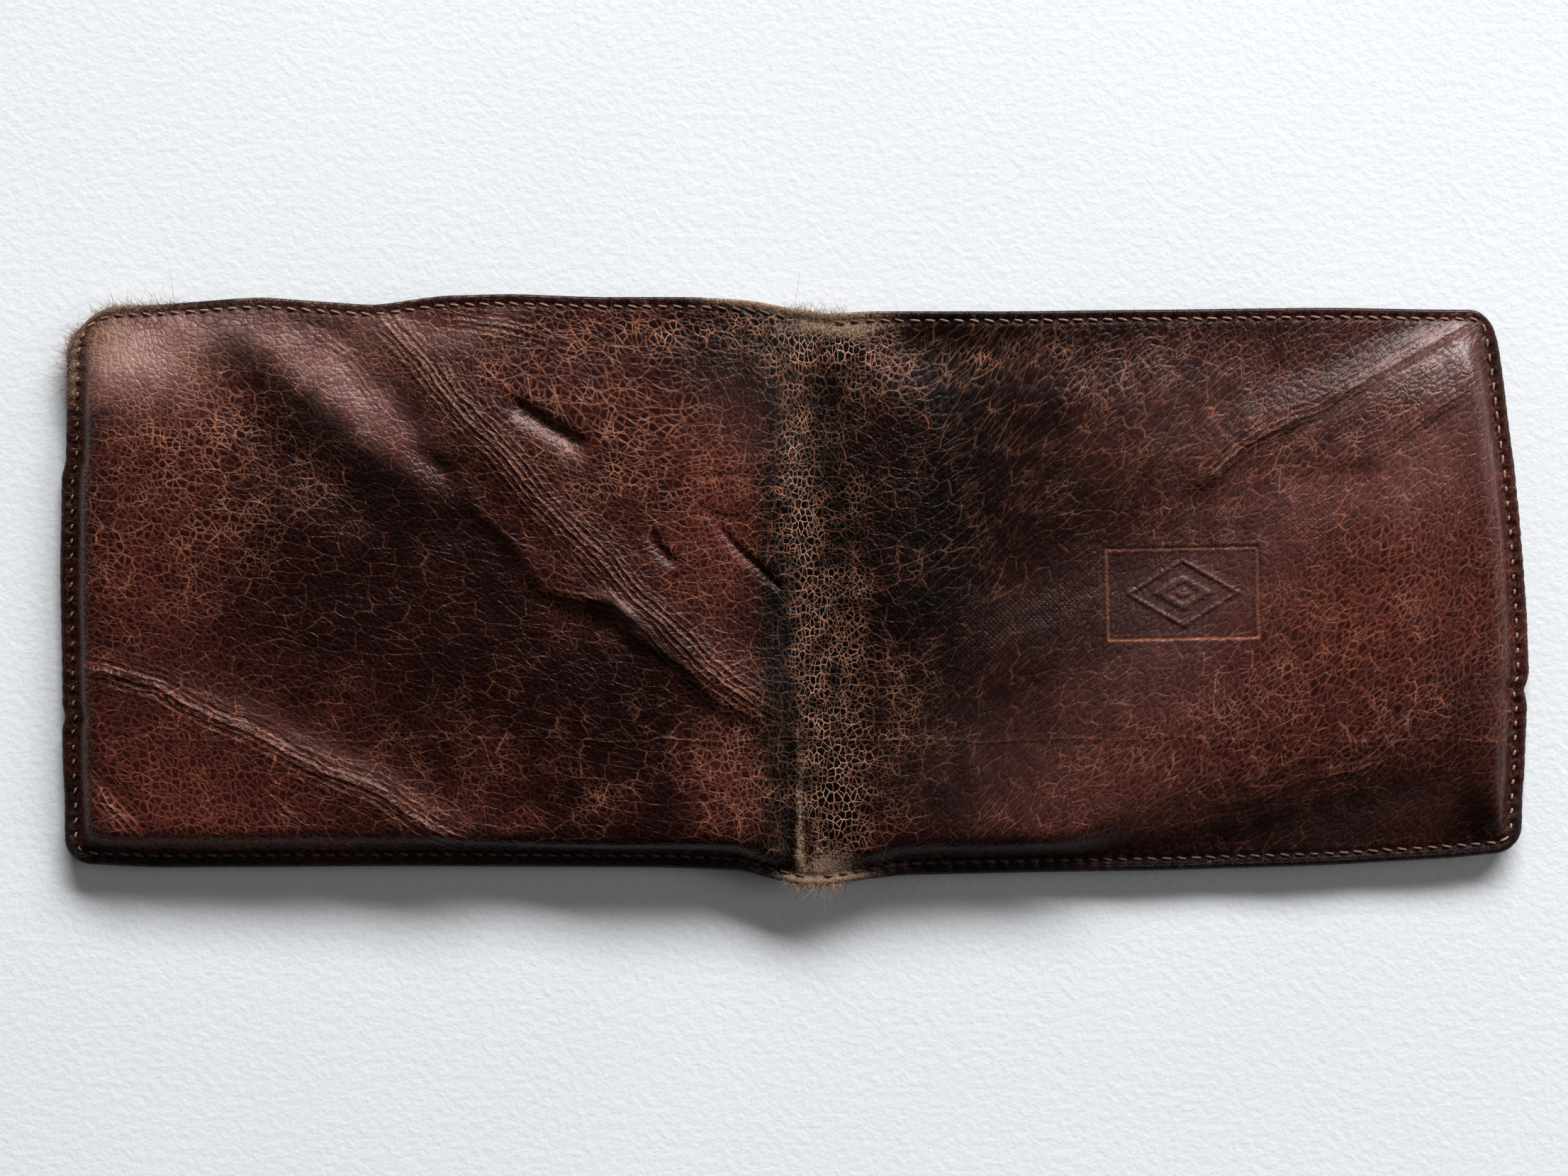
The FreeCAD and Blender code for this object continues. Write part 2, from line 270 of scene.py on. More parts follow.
CREASES = (
    Crease(((-67, 46), (-55, 31), (-39, 14), (-26, 0), (-14, -12), (-1, -21)), 3.0, 0.13, 2.1),
    Crease(((-40, 2), (-27, -3), (-20, -9.5), (-8, -18)), 1.5, 0.10, 2.3, 0.6),
    Crease(
        ((-114, -10), (-99, -15), (-81, -23.6), (-65, -31), (-55, -37), (-46, -43)),
        2.5, 0.22, 2.5, 0.8, 0.26,
    ),
    Crease(((-14, -45), (-7, -43.5), (-2, -40)), 1.3, 0.30, 1.8, 0.8, 0.3, 3.0),
    Crease(((12, -40), (15, -42.5), (20, -44)), 1.1, 0.20, 1.8, 0.6, 0.0, 3.0),
    Crease(((-111, -25), (-105, -34), (-98, -42)), 1.8, 0.16, 2.4, 0.7),
    Crease(((-84, -28), (-78, -34), (-71, -41)), 1.6, 0.12, 2.0, 0.6),
    Crease(((-80, 45), (-70, 36), (-60, 24)), 2.8, 0.08, 2.6, 0.5),
    Crease(((-58, 43), (-47, 41), (-36, 38)), 2.2, 0.12, 1.9, 0.9),
    Crease(((110, 44), (96, 37), (83.5, 29.5), (71, 23), (60, 15)), 2.0, 0.10, 2.6, 0.7),
    Crease(((109, 34), (99, 28), (88, 20)), 2.4, 0.08, 2.4, 0.6),
    Crease(((-112, -23.6), (-60, -23), (0, -23.2), (60, -23), (112, -23.4)), 0.7, 0.07, 2.8, 0.3),
    Crease(((18, -14), (36, -3), (50, 4)), 4.0, 0.06, 3.4, 0.0),
    Crease(((100, -17), (88, -27), (60, -35)), 3.0, 0.12, 3.4, 0.25),
)

FOLDS = (
    Fold(
        ((-58, 27), (-48, 12), (-38, 1), (-27, -3.8), (-20, -9.8), (-9, -18.3), (-1, -22)),
        0.95, 8.0, 1.7,
    ),
    Fold(((-67, 46), (-55, 31), (-39, 14), (-26, 0), (-14, -12), (-1, -21)), 0.40, 3.2, 2.4),
    Fold(((-92, 45), (-78, 33), (-64, 22), (-50, 10)), 0.80, 3.6, 3.6),
    Fold(((-104, 44), (-92, 33), (-78, 22), (-62, 8)), -0.60, 4.4, 4.8),
    Fold(((-114, 28), (-102, 33), (-92, 43)), 0.75, 5.0, 5.0, 5.0),
    Fold(((-79, 46), (-66, 33), (-50, 17), (-36, 2)), -0.50, 2.6, 3.2),
    Fold(((-114, -11), (-99, -15.6), (-81, -24), (-65, -31), (-55, -37.5), (-44, -43)), 0.55, 2.0, 9.0),
    Fold(((-110, -24), (-104, -33), (-97, -42)), -0.45, 1.6, 2.4, 5.0),
    Fold(((-70, -22), (-46, -34), (-30, -38)), -0.5, 6.0, 5.0),
    Fold(((111, 46), (96, 37.4), (83.5, 30), (71, 23.4), (58, 14)), 0.80, 1.5, 4.6),
    Fold(((111, 36), (99, 28.6), (88, 21), (78, 17)), 0.45, 1.6, 3.6),
    Fold(((106, 46), (90, 38.5), (70, 30), (52, 24)), -0.55, 6.0, 3.0),
    Fold(((14, 44), (26, 30), (44, 14), (56, 8)), -0.45, 8.0, 6.0),
    Fold(((60, 14), (80, 10), (98, 12)), 0.40, 7.0, 6.0),
    Fold(((20, -12), (36, -5), (52, 3)), 0.30, 5.0, 5.0),
    Fold(((0.5, -20), (0.4, -32), (0.7, -47)), 0.42, 0.55, 0.8, 4.0, 0.1),
    Fold(((-13, -48), (-6, -44.5), (-1, -39)), 0.8, 1.0, 2.4, 3.0, 0.2),
    Fold(((11, -38), (12, -43), (18, -47)), 0.6, 2.0, 1.0, 3.0, 0.2),
)

DENTS = (
    Fold(((-45, 30.4), (-38, 25.2), (-31, 21.2)), -1.15, 0.95, 2.0, 4.0, 0.1),
    Fold(((-33, -1.0), (-28, -1.6), (-24, -6.4)), 0.75, 1.3, 0.8, 3.0, 0.1),
    Fold(((-22.7, 10.7), (-21, 6.6), (-17.4, 2.8)), -0.70, 0.6, 1.2, 3.0, 0.1),
    Fold(((-12.6, 11.2), (-8.6, 6.2), (-1.4, -0.8)), -0.60, 0.45, 0.8, 3.0, 0.1),
    Fold(((-16, 13.2), (-12, 11.4), (-8, 10.6)), -0.30, 0.7, 1.2, 2.0, 0.1),
    Fold(((-16.2, 17.2), (-11, 17.7), (-6.4, 17.3)), -0.20, 0.4, 0.5, 2.0, 0.1),
    Fold(((31, -14), (34.5, -12.6), (38.5, -15.6)), -0.14, 0.5, 0.7, 2.0, 0.1),
    Fold(((-62, 23), (-57, 20), (-51, 17.4)), -0.35, 1.4, 2.2, 3.0, 0.3),
)


# ---------------------------------------------------------------- the wallet's form


SPINE_LOW, SPINE_HIGH = box_of("cover_spine")
HALF_LEATHER = (SPINE_HIGH[2] - SPINE_LOW[2]) / 2


@dataclass(frozen=True)
class Form:
    """Plan outline and slumped height that all the layers share.

    The spine's leather reaches past each fold line by half its thickness.
    """

    half_length: float = CAD_BOX[1][0] / MM
    half_height: float = round(CAD_BOX[1][1] / MM, 1)
    full: float = SPINE_HIGH[2]
    left_fold: float = round(SPINE_LOW[0] + HALF_LEATHER, 1)
    right_fold: float = round(SPINE_HIGH[0] - HALF_LEATHER, 1)
    flat_border: float = 1.6
    side_slope: float = 1.9
    bottom_slope: float = 1.7
    mouth_slope: float = 7.5
    side_roll: float = 1.0
    mouth_roll: float = 0.6
    border: float = 2.1
    corner: float = 3.2
    top: tuple[Point, ...] = (
        (-112, 44.2), (-100, 44.3), (-83, 45.3), (-72, 44.5), (-65, 44.0), (-55, 45.5), (-44, 45.8),
        (-31, 45.3), (-16, 45.3), (-7, 44.8), (-1, 43.6), (5, 42.6), (11, 43.1), (35, 43.1), (60, 43.4),
        (85, 43.7), (112, 43.6),
    )
    bottom: tuple[Point, ...] = (
        (-112, -42.8), (-100, -43.4), (-60, -43.2), (-20, -43.4), (-8, -43.9), (-3, -45.4), (2, -46.5),
        (6, -46.2), (11, -45.3), (17, -44.6), (35, -44.2), (60, -43.8), (84, -43.0), (102, -41.9),
        (112, -41.0),
    )
    left: tuple[Point, ...] = (
        (-45, -113.8), (-30, -114.6), (-24, -114.7), (-22, -114.1), (-20, -114.7), (0, -115.0),
        (18, -114.8), (19.5, -114.2), (30, -113.9), (45, -113.6),
    )
    right: tuple[Point, ...] = (
        (-45, 113.2), (-33, 114.2), (-21, 114.6), (-18.6, 114.0), (-16, 114.9), (-6, 114.6), (7, 113.8),
        (18, 112.8), (28, 111.5), (35, 110.6), (45, 109.0),
    )

    @property
    def seam(self) -> float:
        """X of the line where the two halves of the leather meet, in the middle of the spine."""
        return (self.left_fold + self.right_fold) / 2

    def spine_share(self, u: Grid, reach: float = 13.0) -> Grid:
        """1 on the spine, falling to 0 within a panel, as a flat-topped bell."""
        return np.exp(-(((u - self.seam) / reach) ** 4))

    def round_corners(self, u: Grid, v: Grid) -> tuple[Grid, Grid]:
        """Bends the corners of the flat rectangle into arcs.

        Args:
            u: flat length coordinate.
            v: flat height coordinate.

        Returns:
            u and v with each corner square mapped onto a quarter disc, by the rule that takes
            (a, b) to (a * sqrt(1 - b * b / 2), b * sqrt(1 - a * a / 2)).
        """
        worn = (u < 0) & (v > 0)
        size = np.where(worn, 2.6 * self.corner, self.corner)
        a = np.clip((np.abs(u) - self.half_length + size) / size, 0, None)
        b = np.clip((np.abs(v) - self.half_height + size) / size, 0, None)
        shrink_a = np.where(b > 0, a * np.sqrt(1 - np.clip(b, 0, 1) ** 2 / 2), a)
        shrink_b = np.where(a > 0, b * np.sqrt(1 - np.clip(a, 0, 1) ** 2 / 2), b)
        new_u = np.where(a > 0, np.sign(u) * (self.half_length - size + shrink_a * size), u)
        new_v = np.where(b > 0, np.sign(v) * (self.half_height - size + shrink_b * size), v)
        return new_u, new_v

    def plan(self, u: Grid, v: Grid) -> tuple[Grid, Grid]:
        """Place on the table of a point of the flat leather.

        Args:
            u: flat length coordinate, from minus to plus half the length.
            v: flat height coordinate, from minus to plus half the height.

        Returns:
            x and y: the rectangle's sides carried linearly onto the wavy outline, which is drawn
            in by the radius of the turned edge.
        """
        u, v = self.round_corners(u, v)
        edge = np.where(u < self.seam, soft_curve(self.left, v, 0.8) + self.side_roll, 0)
        edge = np.where(u < self.seam, edge, soft_curve(self.right, v, 0.8) - self.side_roll)
        limit = np.where(u < self.seam, -self.half_length, self.half_length)
        x = self.seam + (u - self.seam) * (edge - self.seam) / (limit - self.seam)
        low = soft_curve(self.bottom, x) + self.side_roll
        high = soft_curve(self.top, x) - self.mouth_roll
        y = low + (v + self.half_height) / (2 * self.half_height) * (high - low)
        return x, y

    def roll(self, u: Grid, v: Grid) -> Grid:
        """Radius of the turned edge: thin at the mouth and on the spine, thick where it is sewn."""
        mouth = smoothstep(v, self.half_height - 6, self.half_height - 1)
        thin = np.maximum(mouth, self.spine_share(u))
        return self.side_roll + (self.mouth_roll - self.side_roll) * thin

    def slump(self, u: Grid, v: Grid) -> Grid:
        """Height of the leather without its creases.

        Args:
            u: flat length coordinate.
            v: flat height coordinate.

        Returns:
            The sewn border's height, plus the pillow's rise above it, which grows from each edge
            as 1 - exp(-(d / w) ** 1.6).
        """
        side = self.half_length - np.abs(u)
        below = v + self.half_height
        above = self.half_height - v
        spine = self.spine_share(u)
        bulge = blob(u, v, (-27, -43), (20, 14))
        slack = smoothstep(u, 40, 66) * (1 - smoothstep(u, 102, 114))
        free = smoothstep(v, 20, self.half_height) * smoothstep(self.half_length - np.abs(u), 4, 34)
        border = self.border + (0.9 + 2.4 * free) * smoothstep(v, 20, self.half_height)
        border = border + 1.3 * smoothstep(-v, 34, self.half_height)
        border = border + (5.5 - border) * spine + 0.12 * ripple(u, v, 26, 3)
        slope = self.bottom_slope - 0.5 * bulge + 7.5 * slack
        rise = self._rise(side - self.flat_border, self.side_slope)
        rise = rise * self._rise(below - self.flat_border + 0.5 * bulge, slope)
        rise = rise * self._rise(above - 1.2, self.mouth_slope)
        peak = self.full + 0.1 - 1.45 * np.exp(-(((u - self.seam) / 6.5) ** 2))
        peak = peak + 0.34 * ripple(u, v, 48, 5) + 0.2 * ripple(u, v, 19, 7) + 0.6 * bulge
        peak = peak - 0.5 * blob(u, v, (-70, 30), (22, 9), -42) + 0.5 * blob(u, v, (98, -8), (16, 30))
        return border + (peak - border) * rise

    @staticmethod
    def _rise(distance: Grid, width: float | Grid) -> Grid:
        """1 - exp(-(d / w) ** 1.6), and 0 outside the edge."""
        return 1 - np.exp(-((np.clip(distance, 0, None) / width) ** 1.6))

    def level(self, u: Grid, v: Grid, height: float | Grid) -> Grid:
        """Height of an inner layer after the slump.

        Args:
            u: flat length coordinate.
            v: flat height coordinate.
            height: the layer's height in the unpressed stack.

        Returns:
            The stack's height scaled to the slumped leather, lifted over the turned lip near the
            sewn edges.
        """
        near = np.minimum(self.half_length - np.abs(u), v + self.half_height)
        lift = 0.36 * (1 - smoothstep(near, 3.4, 6.0)) * (1 - self.spine_share(u))
        return 0.04 + lift + (self.slump(u, v) - 0.5) * height / self.full


FORM = Form()


# ---------------------------------------------------------------- meshes


def quads(rows: int, columns: int, first: int = 0) -> Grid:
    """Faces of a grid of points stored row by row.

    Args:
        rows: number of rows.
        columns: points in a row.
        first: index of the grid's first point.

    Returns:
        One row of four indices for each cell, anticlockwise when rows run up and columns right.
    """
    index = first + np.arange(rows * columns).reshape(rows, columns)
    corners = (index[:-1, :-1], index[:-1, 1:], index[1:, 1:], index[1:, :-1])
    return np.stack([corner.ravel() for corner in corners], axis=1)


def make_piece(name: str, points: Grid, faces: Grid, smooth: bool = True) -> bpy.types.Object:
    """Mesh object from points in millimetres.

    Args:
        name: the piece's name.
        points: one row of x, y, z for each vertex.
        faces: one row of four indices for each face.
        smooth: whether its faces are shaded smoothly.

    Returns:
        The object, linked to the scene, at the origin.
    """
    mesh = bpy.data.meshes.new(name)
    mesh.vertices.add(len(points))
    mesh.vertices.foreach_set("co", (np.asarray(points) * MM).astype(np.float32).ravel())
    mesh.loops.add(faces.size)
    mesh.loops.foreach_set("vertex_index", faces.astype(np.int32).ravel())
    mesh.polygons.add(len(faces))
    mesh.polygons.foreach_set("loop_start", np.arange(0, faces.size, 4, dtype=np.int32))
    mesh.polygons.foreach_set("use_smooth", np.full(len(faces), smooth))
    mesh.update(calc_edges=True)
    mesh.validate()
    piece = bpy.data.objects.new(name, mesh)
    bpy.context.scene.collection.objects.link(piece)
    return piece


def store_colour(piece: bpy.types.Object, name: str, channels: Sequence[Grid]) -> None:
    """Keeps four numbers for each vertex as a colour attribute."""
    values = np.stack([np.clip(np.asarray(c, float).ravel(), 0, 1) for c in channels], axis=1)
    layer = piece.data.attributes.new(name, "FLOAT_COLOR", "POINT")
    layer.data.foreach_set("color", values.astype(np.float32).ravel())


def store_vector(piece: bpy.types.Object, name: str, parts: Sequence[Grid]) -> None:
    """Keeps a vector for each vertex."""
    values = np.stack([np.asarray(p, float).ravel() for p in parts], axis=1)
    layer = piece.data.attributes.new(name, "FLOAT_VECTOR", "POINT")
    layer.data.foreach_set("vector", values.astype(np.float32).ravel())


def closed_sheet(name: str, upper: Grid, lower: Grid) -> bpy.types.Object:
    """Closed sheet between two grids of points.

    Args:
        name: the piece's name.
        upper: grid of points, rows by columns by 3, rows running up and columns right.
        lower: grid of the same shape below it.

    Returns:
        The piece: both grids, the lower one turned over, joined round the rim.
    """
    rows, columns = upper.shape[:2]
    count = rows * columns
    index = np.arange(count).reshape(rows, columns)
    rim = np.concatenate([index[0, :], index[1:, -1], index[-1, -2::-1], index[-2:0:-1, 0]])
    following = np.roll(rim, -1)
    sides = np.stack([rim + count, following + count, following, rim], axis=1)
    faces = np.concatenate([quads(rows, columns), quads(rows, columns, count)[:, ::-1], sides])
    points = np.concatenate([upper.reshape(-1, 3), lower.reshape(-1, 3)])
    return make_piece(name, points, faces)


def dress(piece: bpy.types.Object, material: bpy.types.Material) -> None:
    """Gives a piece its material."""
    piece.data.materials.append(material)


# ---------------------------------------------------------------- shader writing


class Signal:
    """A number in a shader, so that sums on it read as sums."""

    def __init__(self, paint: "Paint", socket: bpy.types.NodeSocket) -> None:
        """Wraps a number socket of a paint."""
        self.paint = paint
        self.socket = socket

    def _math(self, operation: str, first: Any, second: Any) -> "Signal":
        """Adds a Math node with two values."""
        return self.paint.number("ShaderNodeMath", {"operation": operation}, {0: first, 1: second})

    def __add__(self, other: Any) -> "Signal":
        """Sum."""
        return self._math("ADD", self, other)

    __radd__ = __add__

    def __sub__(self, other: Any) -> "Signal":
        """Difference."""
        return self._math("SUBTRACT", self, other)

    def __rsub__(self, other: Any) -> "Signal":
        """Difference from a number."""
        return self._math("SUBTRACT", other, self)

    def __mul__(self, other: Any) -> "Signal":
        """Product."""
        return self._math("MULTIPLY", self, other)

    __rmul__ = __mul__

    def ramp(self, low: float, high: float, start: float = 0.0, end: float = 1.0) -> "Signal":
        """Smooth ramp that goes from start to end while the signal goes from low to high."""
        settings = {"interpolation_type": "SMOOTHSTEP"}
        values = {"Value": self, "From Min": low, "From Max": high, "To Min": start, "To Max": end}
        return self.paint.number("ShaderNodeMapRange", settings, values)

    def cosine(self) -> "Signal":
        """Cosine."""
        return self._math("COSINE", self, 0.0)

    def least(self, other: Any) -> "Signal":
        """Smaller of two."""
        return self._math("MINIMUM", self, other)

    def most(self, other: Any) -> "Signal":
        """Larger of two."""
        return self._math("MAXIMUM", self, other)

    def clip(self) -> "Signal":
        """Between 0 and 1."""
        return self.least(1.0).most(0.0)


class Paint:
    """Builds one material's nodes."""

    def __init__(self, name: str, **constants: float) -> None:
        """Starts a material.

        Args:
            name: the material's name.
            constants: values for the shader's own sockets, with _ for a space in their names.
        """
        self.material = bpy.data.materials.new(name)
        self.material.use_nodes = True
        self.tree = self.material.node_tree
        self.tree.nodes.clear()
        self.shader = self.tree.nodes.new("ShaderNodeBsdfPrincipled")
        output = self.tree.nodes.new("ShaderNodeOutputMaterial")
        self.tree.links.new(self.shader.outputs[0], output.inputs[0])
        for key, value in constants.items():
            self.shader.inputs[key.replace("_", " ")].default_value = value

    def node(self, kind: str, settings: dict[str, Any], values: dict[Any, Any]) -> bpy.types.Node:
        """Adds a node.

        Args:
            kind: the node's type.
            settings: its properties, set first.
            values: values, sockets or signals for its inputs, by name or number.

        Returns:
            The node.
        """
        made = self.tree.nodes.new(kind)
        for key, value in settings.items():
            setattr(made, key, value)
        for key, value in values.items():
            self.feed(made.inputs[key], value)
        return made

    def feed(self, socket: bpy.types.NodeSocket, value: Any) -> None:
        """Sets or links one input."""
        if isinstance(value, Signal):
            value = value.socket
        if isinstance(value, bpy.types.NodeSocket):
            self.tree.links.new(value, socket)
        else:
            socket.default_value = value

    def number(self, kind: str, settings: dict[str, Any], values: dict[Any, Any], out: Any = 0) -> Signal:
        """Adds a node and wraps one of its outputs as a signal."""
        return Signal(self, self.node(kind, settings, values).outputs[out])

    def place(self) -> bpy.types.NodeSocket:
        """Object coordinates, in millimetres."""
        found = self.node("ShaderNodeTexCoord", {}, {}).outputs["Object"]
        return self.scaled(found, 1 / MM)

    def scaled(self, vector: Any, by: float) -> bpy.types.NodeSocket:
        """A vector times a number."""
        values = {0: vector, "Scale": by}
        return self.node("ShaderNodeVectorMath", {"operation": "SCALE"}, values).outputs[0]

    def added(self, first: Any, second: Any) -> bpy.types.NodeSocket:
        """Sum of two vectors."""
        return self.node("ShaderNodeVectorMath", {"operation": "ADD"}, {0: first, 1: second}).outputs[0]

    def times(self, first: Any, second: Any) -> bpy.types.NodeSocket:
        """Product of two vectors, part by part."""
        values = {0: first, 1: second}
        return self.node("ShaderNodeVectorMath", {"operation": "MULTIPLY"}, values).outputs[0]

    def noise(self, vector: Any, length: float, detail: float = 2.0, rough: float = 0.5) -> Signal:
        """Noise whose usual patch is a length across, about 0.5."""
        values = {"Vector": vector, "Scale": 1 / length, "Detail": detail, "Roughness": rough}
        return self.number("ShaderNodeTexNoise", {}, values)

    def swirl(self, vector: Any, length: float, amount: float) -> bpy.types.NodeSocket:
        """The vector pushed about by coloured noise."""
        values = {"Vector": vector, "Scale": 1 / length, "Detail": 1.0}
        noise = self.node("ShaderNodeTexNoise", {}, values).outputs["Color"]
        centred = self.added(noise, (-0.5, -0.5, -0.5))
        return self.added(vector, self.scaled(centred, 2 * amount))

    def cells(self, vector: Any, size: float, feature: str = "DISTANCE_TO_EDGE") -> bpy.types.Node:
        """Random cells about a size across."""
        settings = {"feature": feature, "voronoi_dimensions": "2D"}
        return self.node("ShaderNodeTexVoronoi", settings, {"Vector": vector, "Scale": 1 / size})

    def bands(self, vector: Any, scale: float = 0.8) -> Signal:
        """Diagonal bands, as an imprint of threads leaves them."""
        settings = {"wave_type": "BANDS", "bands_direction": "DIAGONAL"}
        return self.number("ShaderNodeTexWave", settings, {"Vector": vector, "Scale": scale})

    def channels(self, name: str) -> tuple[Signal, Signal, Signal, Signal]:
        """The four numbers of a colour attribute."""
        source = self.node("ShaderNodeAttribute", {"attribute_name": name}, {})
        parts = self.node("ShaderNodeSeparateColor", {}, {0: source.outputs["Color"]})
        red, green, blue = (Signal(self, socket) for socket in parts.outputs)
        return red, green, blue, Signal(self, source.outputs["Alpha"])

    def vector(self, name: str) -> bpy.types.NodeSocket:
        """A vector attribute."""
        return self.node("ShaderNodeAttribute", {"attribute_name": name}, {}).outputs["Vector"]

    def mix(self, share: Any, first: Any, second: Any) -> bpy.types.NodeSocket:
        """Colour that goes from the first to the second as share goes from 0 to 1."""
        first, second = (c + (1.0,) if isinstance(c, tuple) else c for c in (first, second))
        made = self.node("ShaderNodeMix", {"data_type": "RGBA"}, {0: share, 6: first, 7: second})
        return made.outputs[2]

    def finish(self, colour: Any, roughness: Any, height: Signal, depth: float) -> bpy.types.Material:
        """Feeds the shader.

        Args:
            colour: base colour.
            roughness: roughness.
            height: relief, from 0 to 1.
            depth: height of a relief of 1, in millimetres.

        Returns:
            The material.
        """
        values = {"Height": height, "Distance": depth * MM, "Strength": 1.0}
        bump = self.node("ShaderNodeBump", {}, values)
        self.feed(self.shader.inputs["Base Color"], colour)
        self.feed(self.shader.inputs["Roughness"], roughness)
        self.feed(self.shader.inputs["Normal"], bump.outputs[0])
        return self.material


# ---------------------------------------------------------------- finishes


@dataclass(frozen=True)
class LeatherGrain:
    """What the cover leather's finish is mixed from.

    The first three are distances to the nearest border between cells: pebbles, then two patterns
    drawn out along the grain. The tint is one number for each pebble. The rest are noises.
    """

    pebbles: Signal
    short: Signal
    long: Signal
    tint: Signal
    fine: Signal
    broken: Signal
    patch: Signal
    cloud: Signal


@dataclass(frozen=True)
class WornLeather:
    """Pebbled cover leather whose dark top coat has cracked and rubbed through."""

    coat: Colour = (0.0095, 0.0010, 0.0008)
    void: Colour = (0.0017, 0.0007, 0.0005)
    brown: Colour = (0.046, 0.0102, 0.0084)
    net: Colour = (0.168, 0.045, 0.029)
    # Colour of the painted sheen: a pale grey-pink that stands in for reflected window light.
    painted_sheen_and_black: Colour = (0.285, 0.165, 0.150)
    rust: Colour = (0.37, 0.132, 0.068)
    tan: Colour = (0.58, 0.34, 0.225)
    suede: Colour = (0.33, 0.215, 0.145)
    paint: Colour = (0.0060, 0.0045, 0.0042)
    pebble: float = 1.12
    ridge: float = 0.95
    polish: float = 0.22
    depth: float = 0.12

    def build(self) -> bpy.types.Material:
        """Colour from the coat down to the flesh side, then roughness, relief and polish."""
        paint = Paint("worn_cover_leather", Specular_IOR_Level=0.22, Coat_Roughness=0.28)
        red, crack, wear, shine = paint.channels("tone")
        edge, groove, weave, pressed_line_and_highlight = paint.channels("trim")
        # First channel: painted sheen; second: how far the leather is blackened.
        painted_sheen_share, deep, _, _ = paint.channels("painted_sheen_and_black")
        place = paint.place()
        across, strength = self.crease(paint, place)
        grain = self.grain(paint, place)
        fine, broken = grain.fine, grain.broken

        shade = (red + (grain.cloud - 0.5) * 0.24 + (grain.patch - 0.5) * 0.20).clip()
        speck = (grain.tint - 0.5) * 0.45 + (fine - 0.5) * 0.5
        shade = (shade * (1.0 + speck)).clip()
        lines = self.worn_lines(grain, shade, crack)
        base = self.coated(paint, grain, shade, deep)
        hue = paint.mix((crack * 1.2 - 0.1 + (fine - 0.5) * 0.6).clip(), self.rust, self.tan)
        base = paint.mix(lines, base, hue)
        top = across.ramp(0.80, 1.0) * strength
        # Painted shade: the troughs between a crease's fine ridges are darkened towards the coat colour.
        low = (1.0 - across.ramp(-1.0, 0.1)) * strength
        base = paint.mix((low * 0.35).clip(), base, self.coat)
        base = paint.mix((top * (broken * 1.6 - 0.25)).clip(), base, paint.mix(broken, self.rust, self.tan))
        # Painted sheen: the colour is mixed towards a pale grey where the leather should reflect the light,
        # more in the middle of the pebbles.
        painted_sheen_share = painted_sheen_share * (grain.pebbles.ramp(0.0, 0.2) * 0.6 + 0.4) * (0.5 + broken)
        base = paint.mix(painted_sheen_share.clip(), base, self.painted_sheen_and_black)

        rubbed = wear * 1.5 + (fine - 0.5) * 1.6 + (broken - 0.5) * 0.9 - 0.35 + lines * 0.25
        rubbed = rubbed.ramp(0.05, 0.75) * wear.ramp(0.02, 0.3)
        flesh = paint.mix(fine.ramp(0.3, 0.7), tuple(0.35 * part for part in self.suede), self.suede)
        base = paint.mix(rubbed, base, flesh)
        dark = (groove * 0.75 + edge).clip()
        base = paint.mix(dark * (1.0 - rubbed * 0.6), base, self.paint)
        # The pressed frame line: rust-coloured leather, made brighter along its lower side by a painted
        # highlight.
        base = paint.mix(pressed_line_and_highlight, base, self.rust)

        rough = 0.42 - shine * 0.12 + lines * 0.25 + rubbed * 0.4 + (broken - 0.5) * 0.14 + groove * 0.2
        relief = self.domes(grain) * (1.0 - rubbed * 0.5) * (1.0 - edge * 0.7)
        relief = relief + fine * 0.10 + broken * 0.1
        relief = relief + self.imprint(paint, place) * weave * 0.5 + across * strength * 0.42
        matt = deep.ramp(0.0, 0.7)
        paint.feed(paint.shader.inputs["Coat Weight"], (shine * (1.0 - matt) * self.polish).clip())
        return paint.finish(base, rough.clip(), relief, self.depth)

    def grain(self, paint: Paint, place: bpy.types.NodeSocket) -> LeatherGrain:
        """Cells in the leather's own coordinates, and noises in space."""
        own = paint.vector("grain")
        pushed = paint.swirl(paint.swirl(own, 2.6, 0.6), 0.8, 0.14)
        drawn = paint.swirl(paint.swirl(own, 6.0, 1.3), 1.6, 0.22)
        tint = paint.cells(pushed, self.pebble, "F1").outputs["Color"]
        return LeatherGrain(
            pebbles=self.borders(paint, pushed, self.pebble),
            short=self.borders(paint, paint.times(drawn, (0.66, 1.15, 1.0)), 1.42),
            long=self.borders(paint, paint.times(drawn, (0.46, 1.10, 1.0)), 2.15),
            tint=paint.number("ShaderNodeSeparateColor", {}, {0: tint}),
            fine=paint.noise(place, 0.32, 3.0, 0.6),
            broken=paint.noise(place, 2.8, 3.0, 0.65),
            patch=paint.noise(place, 7.0, 4.0, 0.6),
            cloud=paint.noise(place, 21.0, 3.0, 0.55),
        )

    @staticmethod
    def borders(paint: Paint, vector: bpy.types.NodeSocket, size: float) -> Signal:
        """Distance to the nearest border between cells."""
        return Signal(paint, paint.cells(vector, size).outputs["Distance"])

    def coated(
        self, paint: Paint, grain: LeatherGrain, shade: Signal, deep: Signal
    ) -> bpy.types.NodeSocket:
        """Colour of the whole coat.

        Args:
            paint: the material's builder.
            grain: the leather's grain.
            shade: 0 where the coat is darkest, 1 where it is reddest.
            deep: how far the leather is blackened: by handling, and in one strip at the bottom right as
                painted shade.

        Returns:
            Dark pebbles with a lighter net between them.
        """
        net = paint.mix(shade, tuple(1.5 * part for part in self.coat), self.net)
        core = paint.mix(shade, self.coat, self.brown)
        spot = grain.pebbles.ramp(0.04, 0.24) * (grain.tint * 1.3 + 0.30 + (grain.fine - 0.5) * 0.9)
        base = paint.mix(spot.clip(), net, core)
        return paint.mix((deep + (grain.broken - 0.5) * 0.6 * deep).clip(), base, self.void)

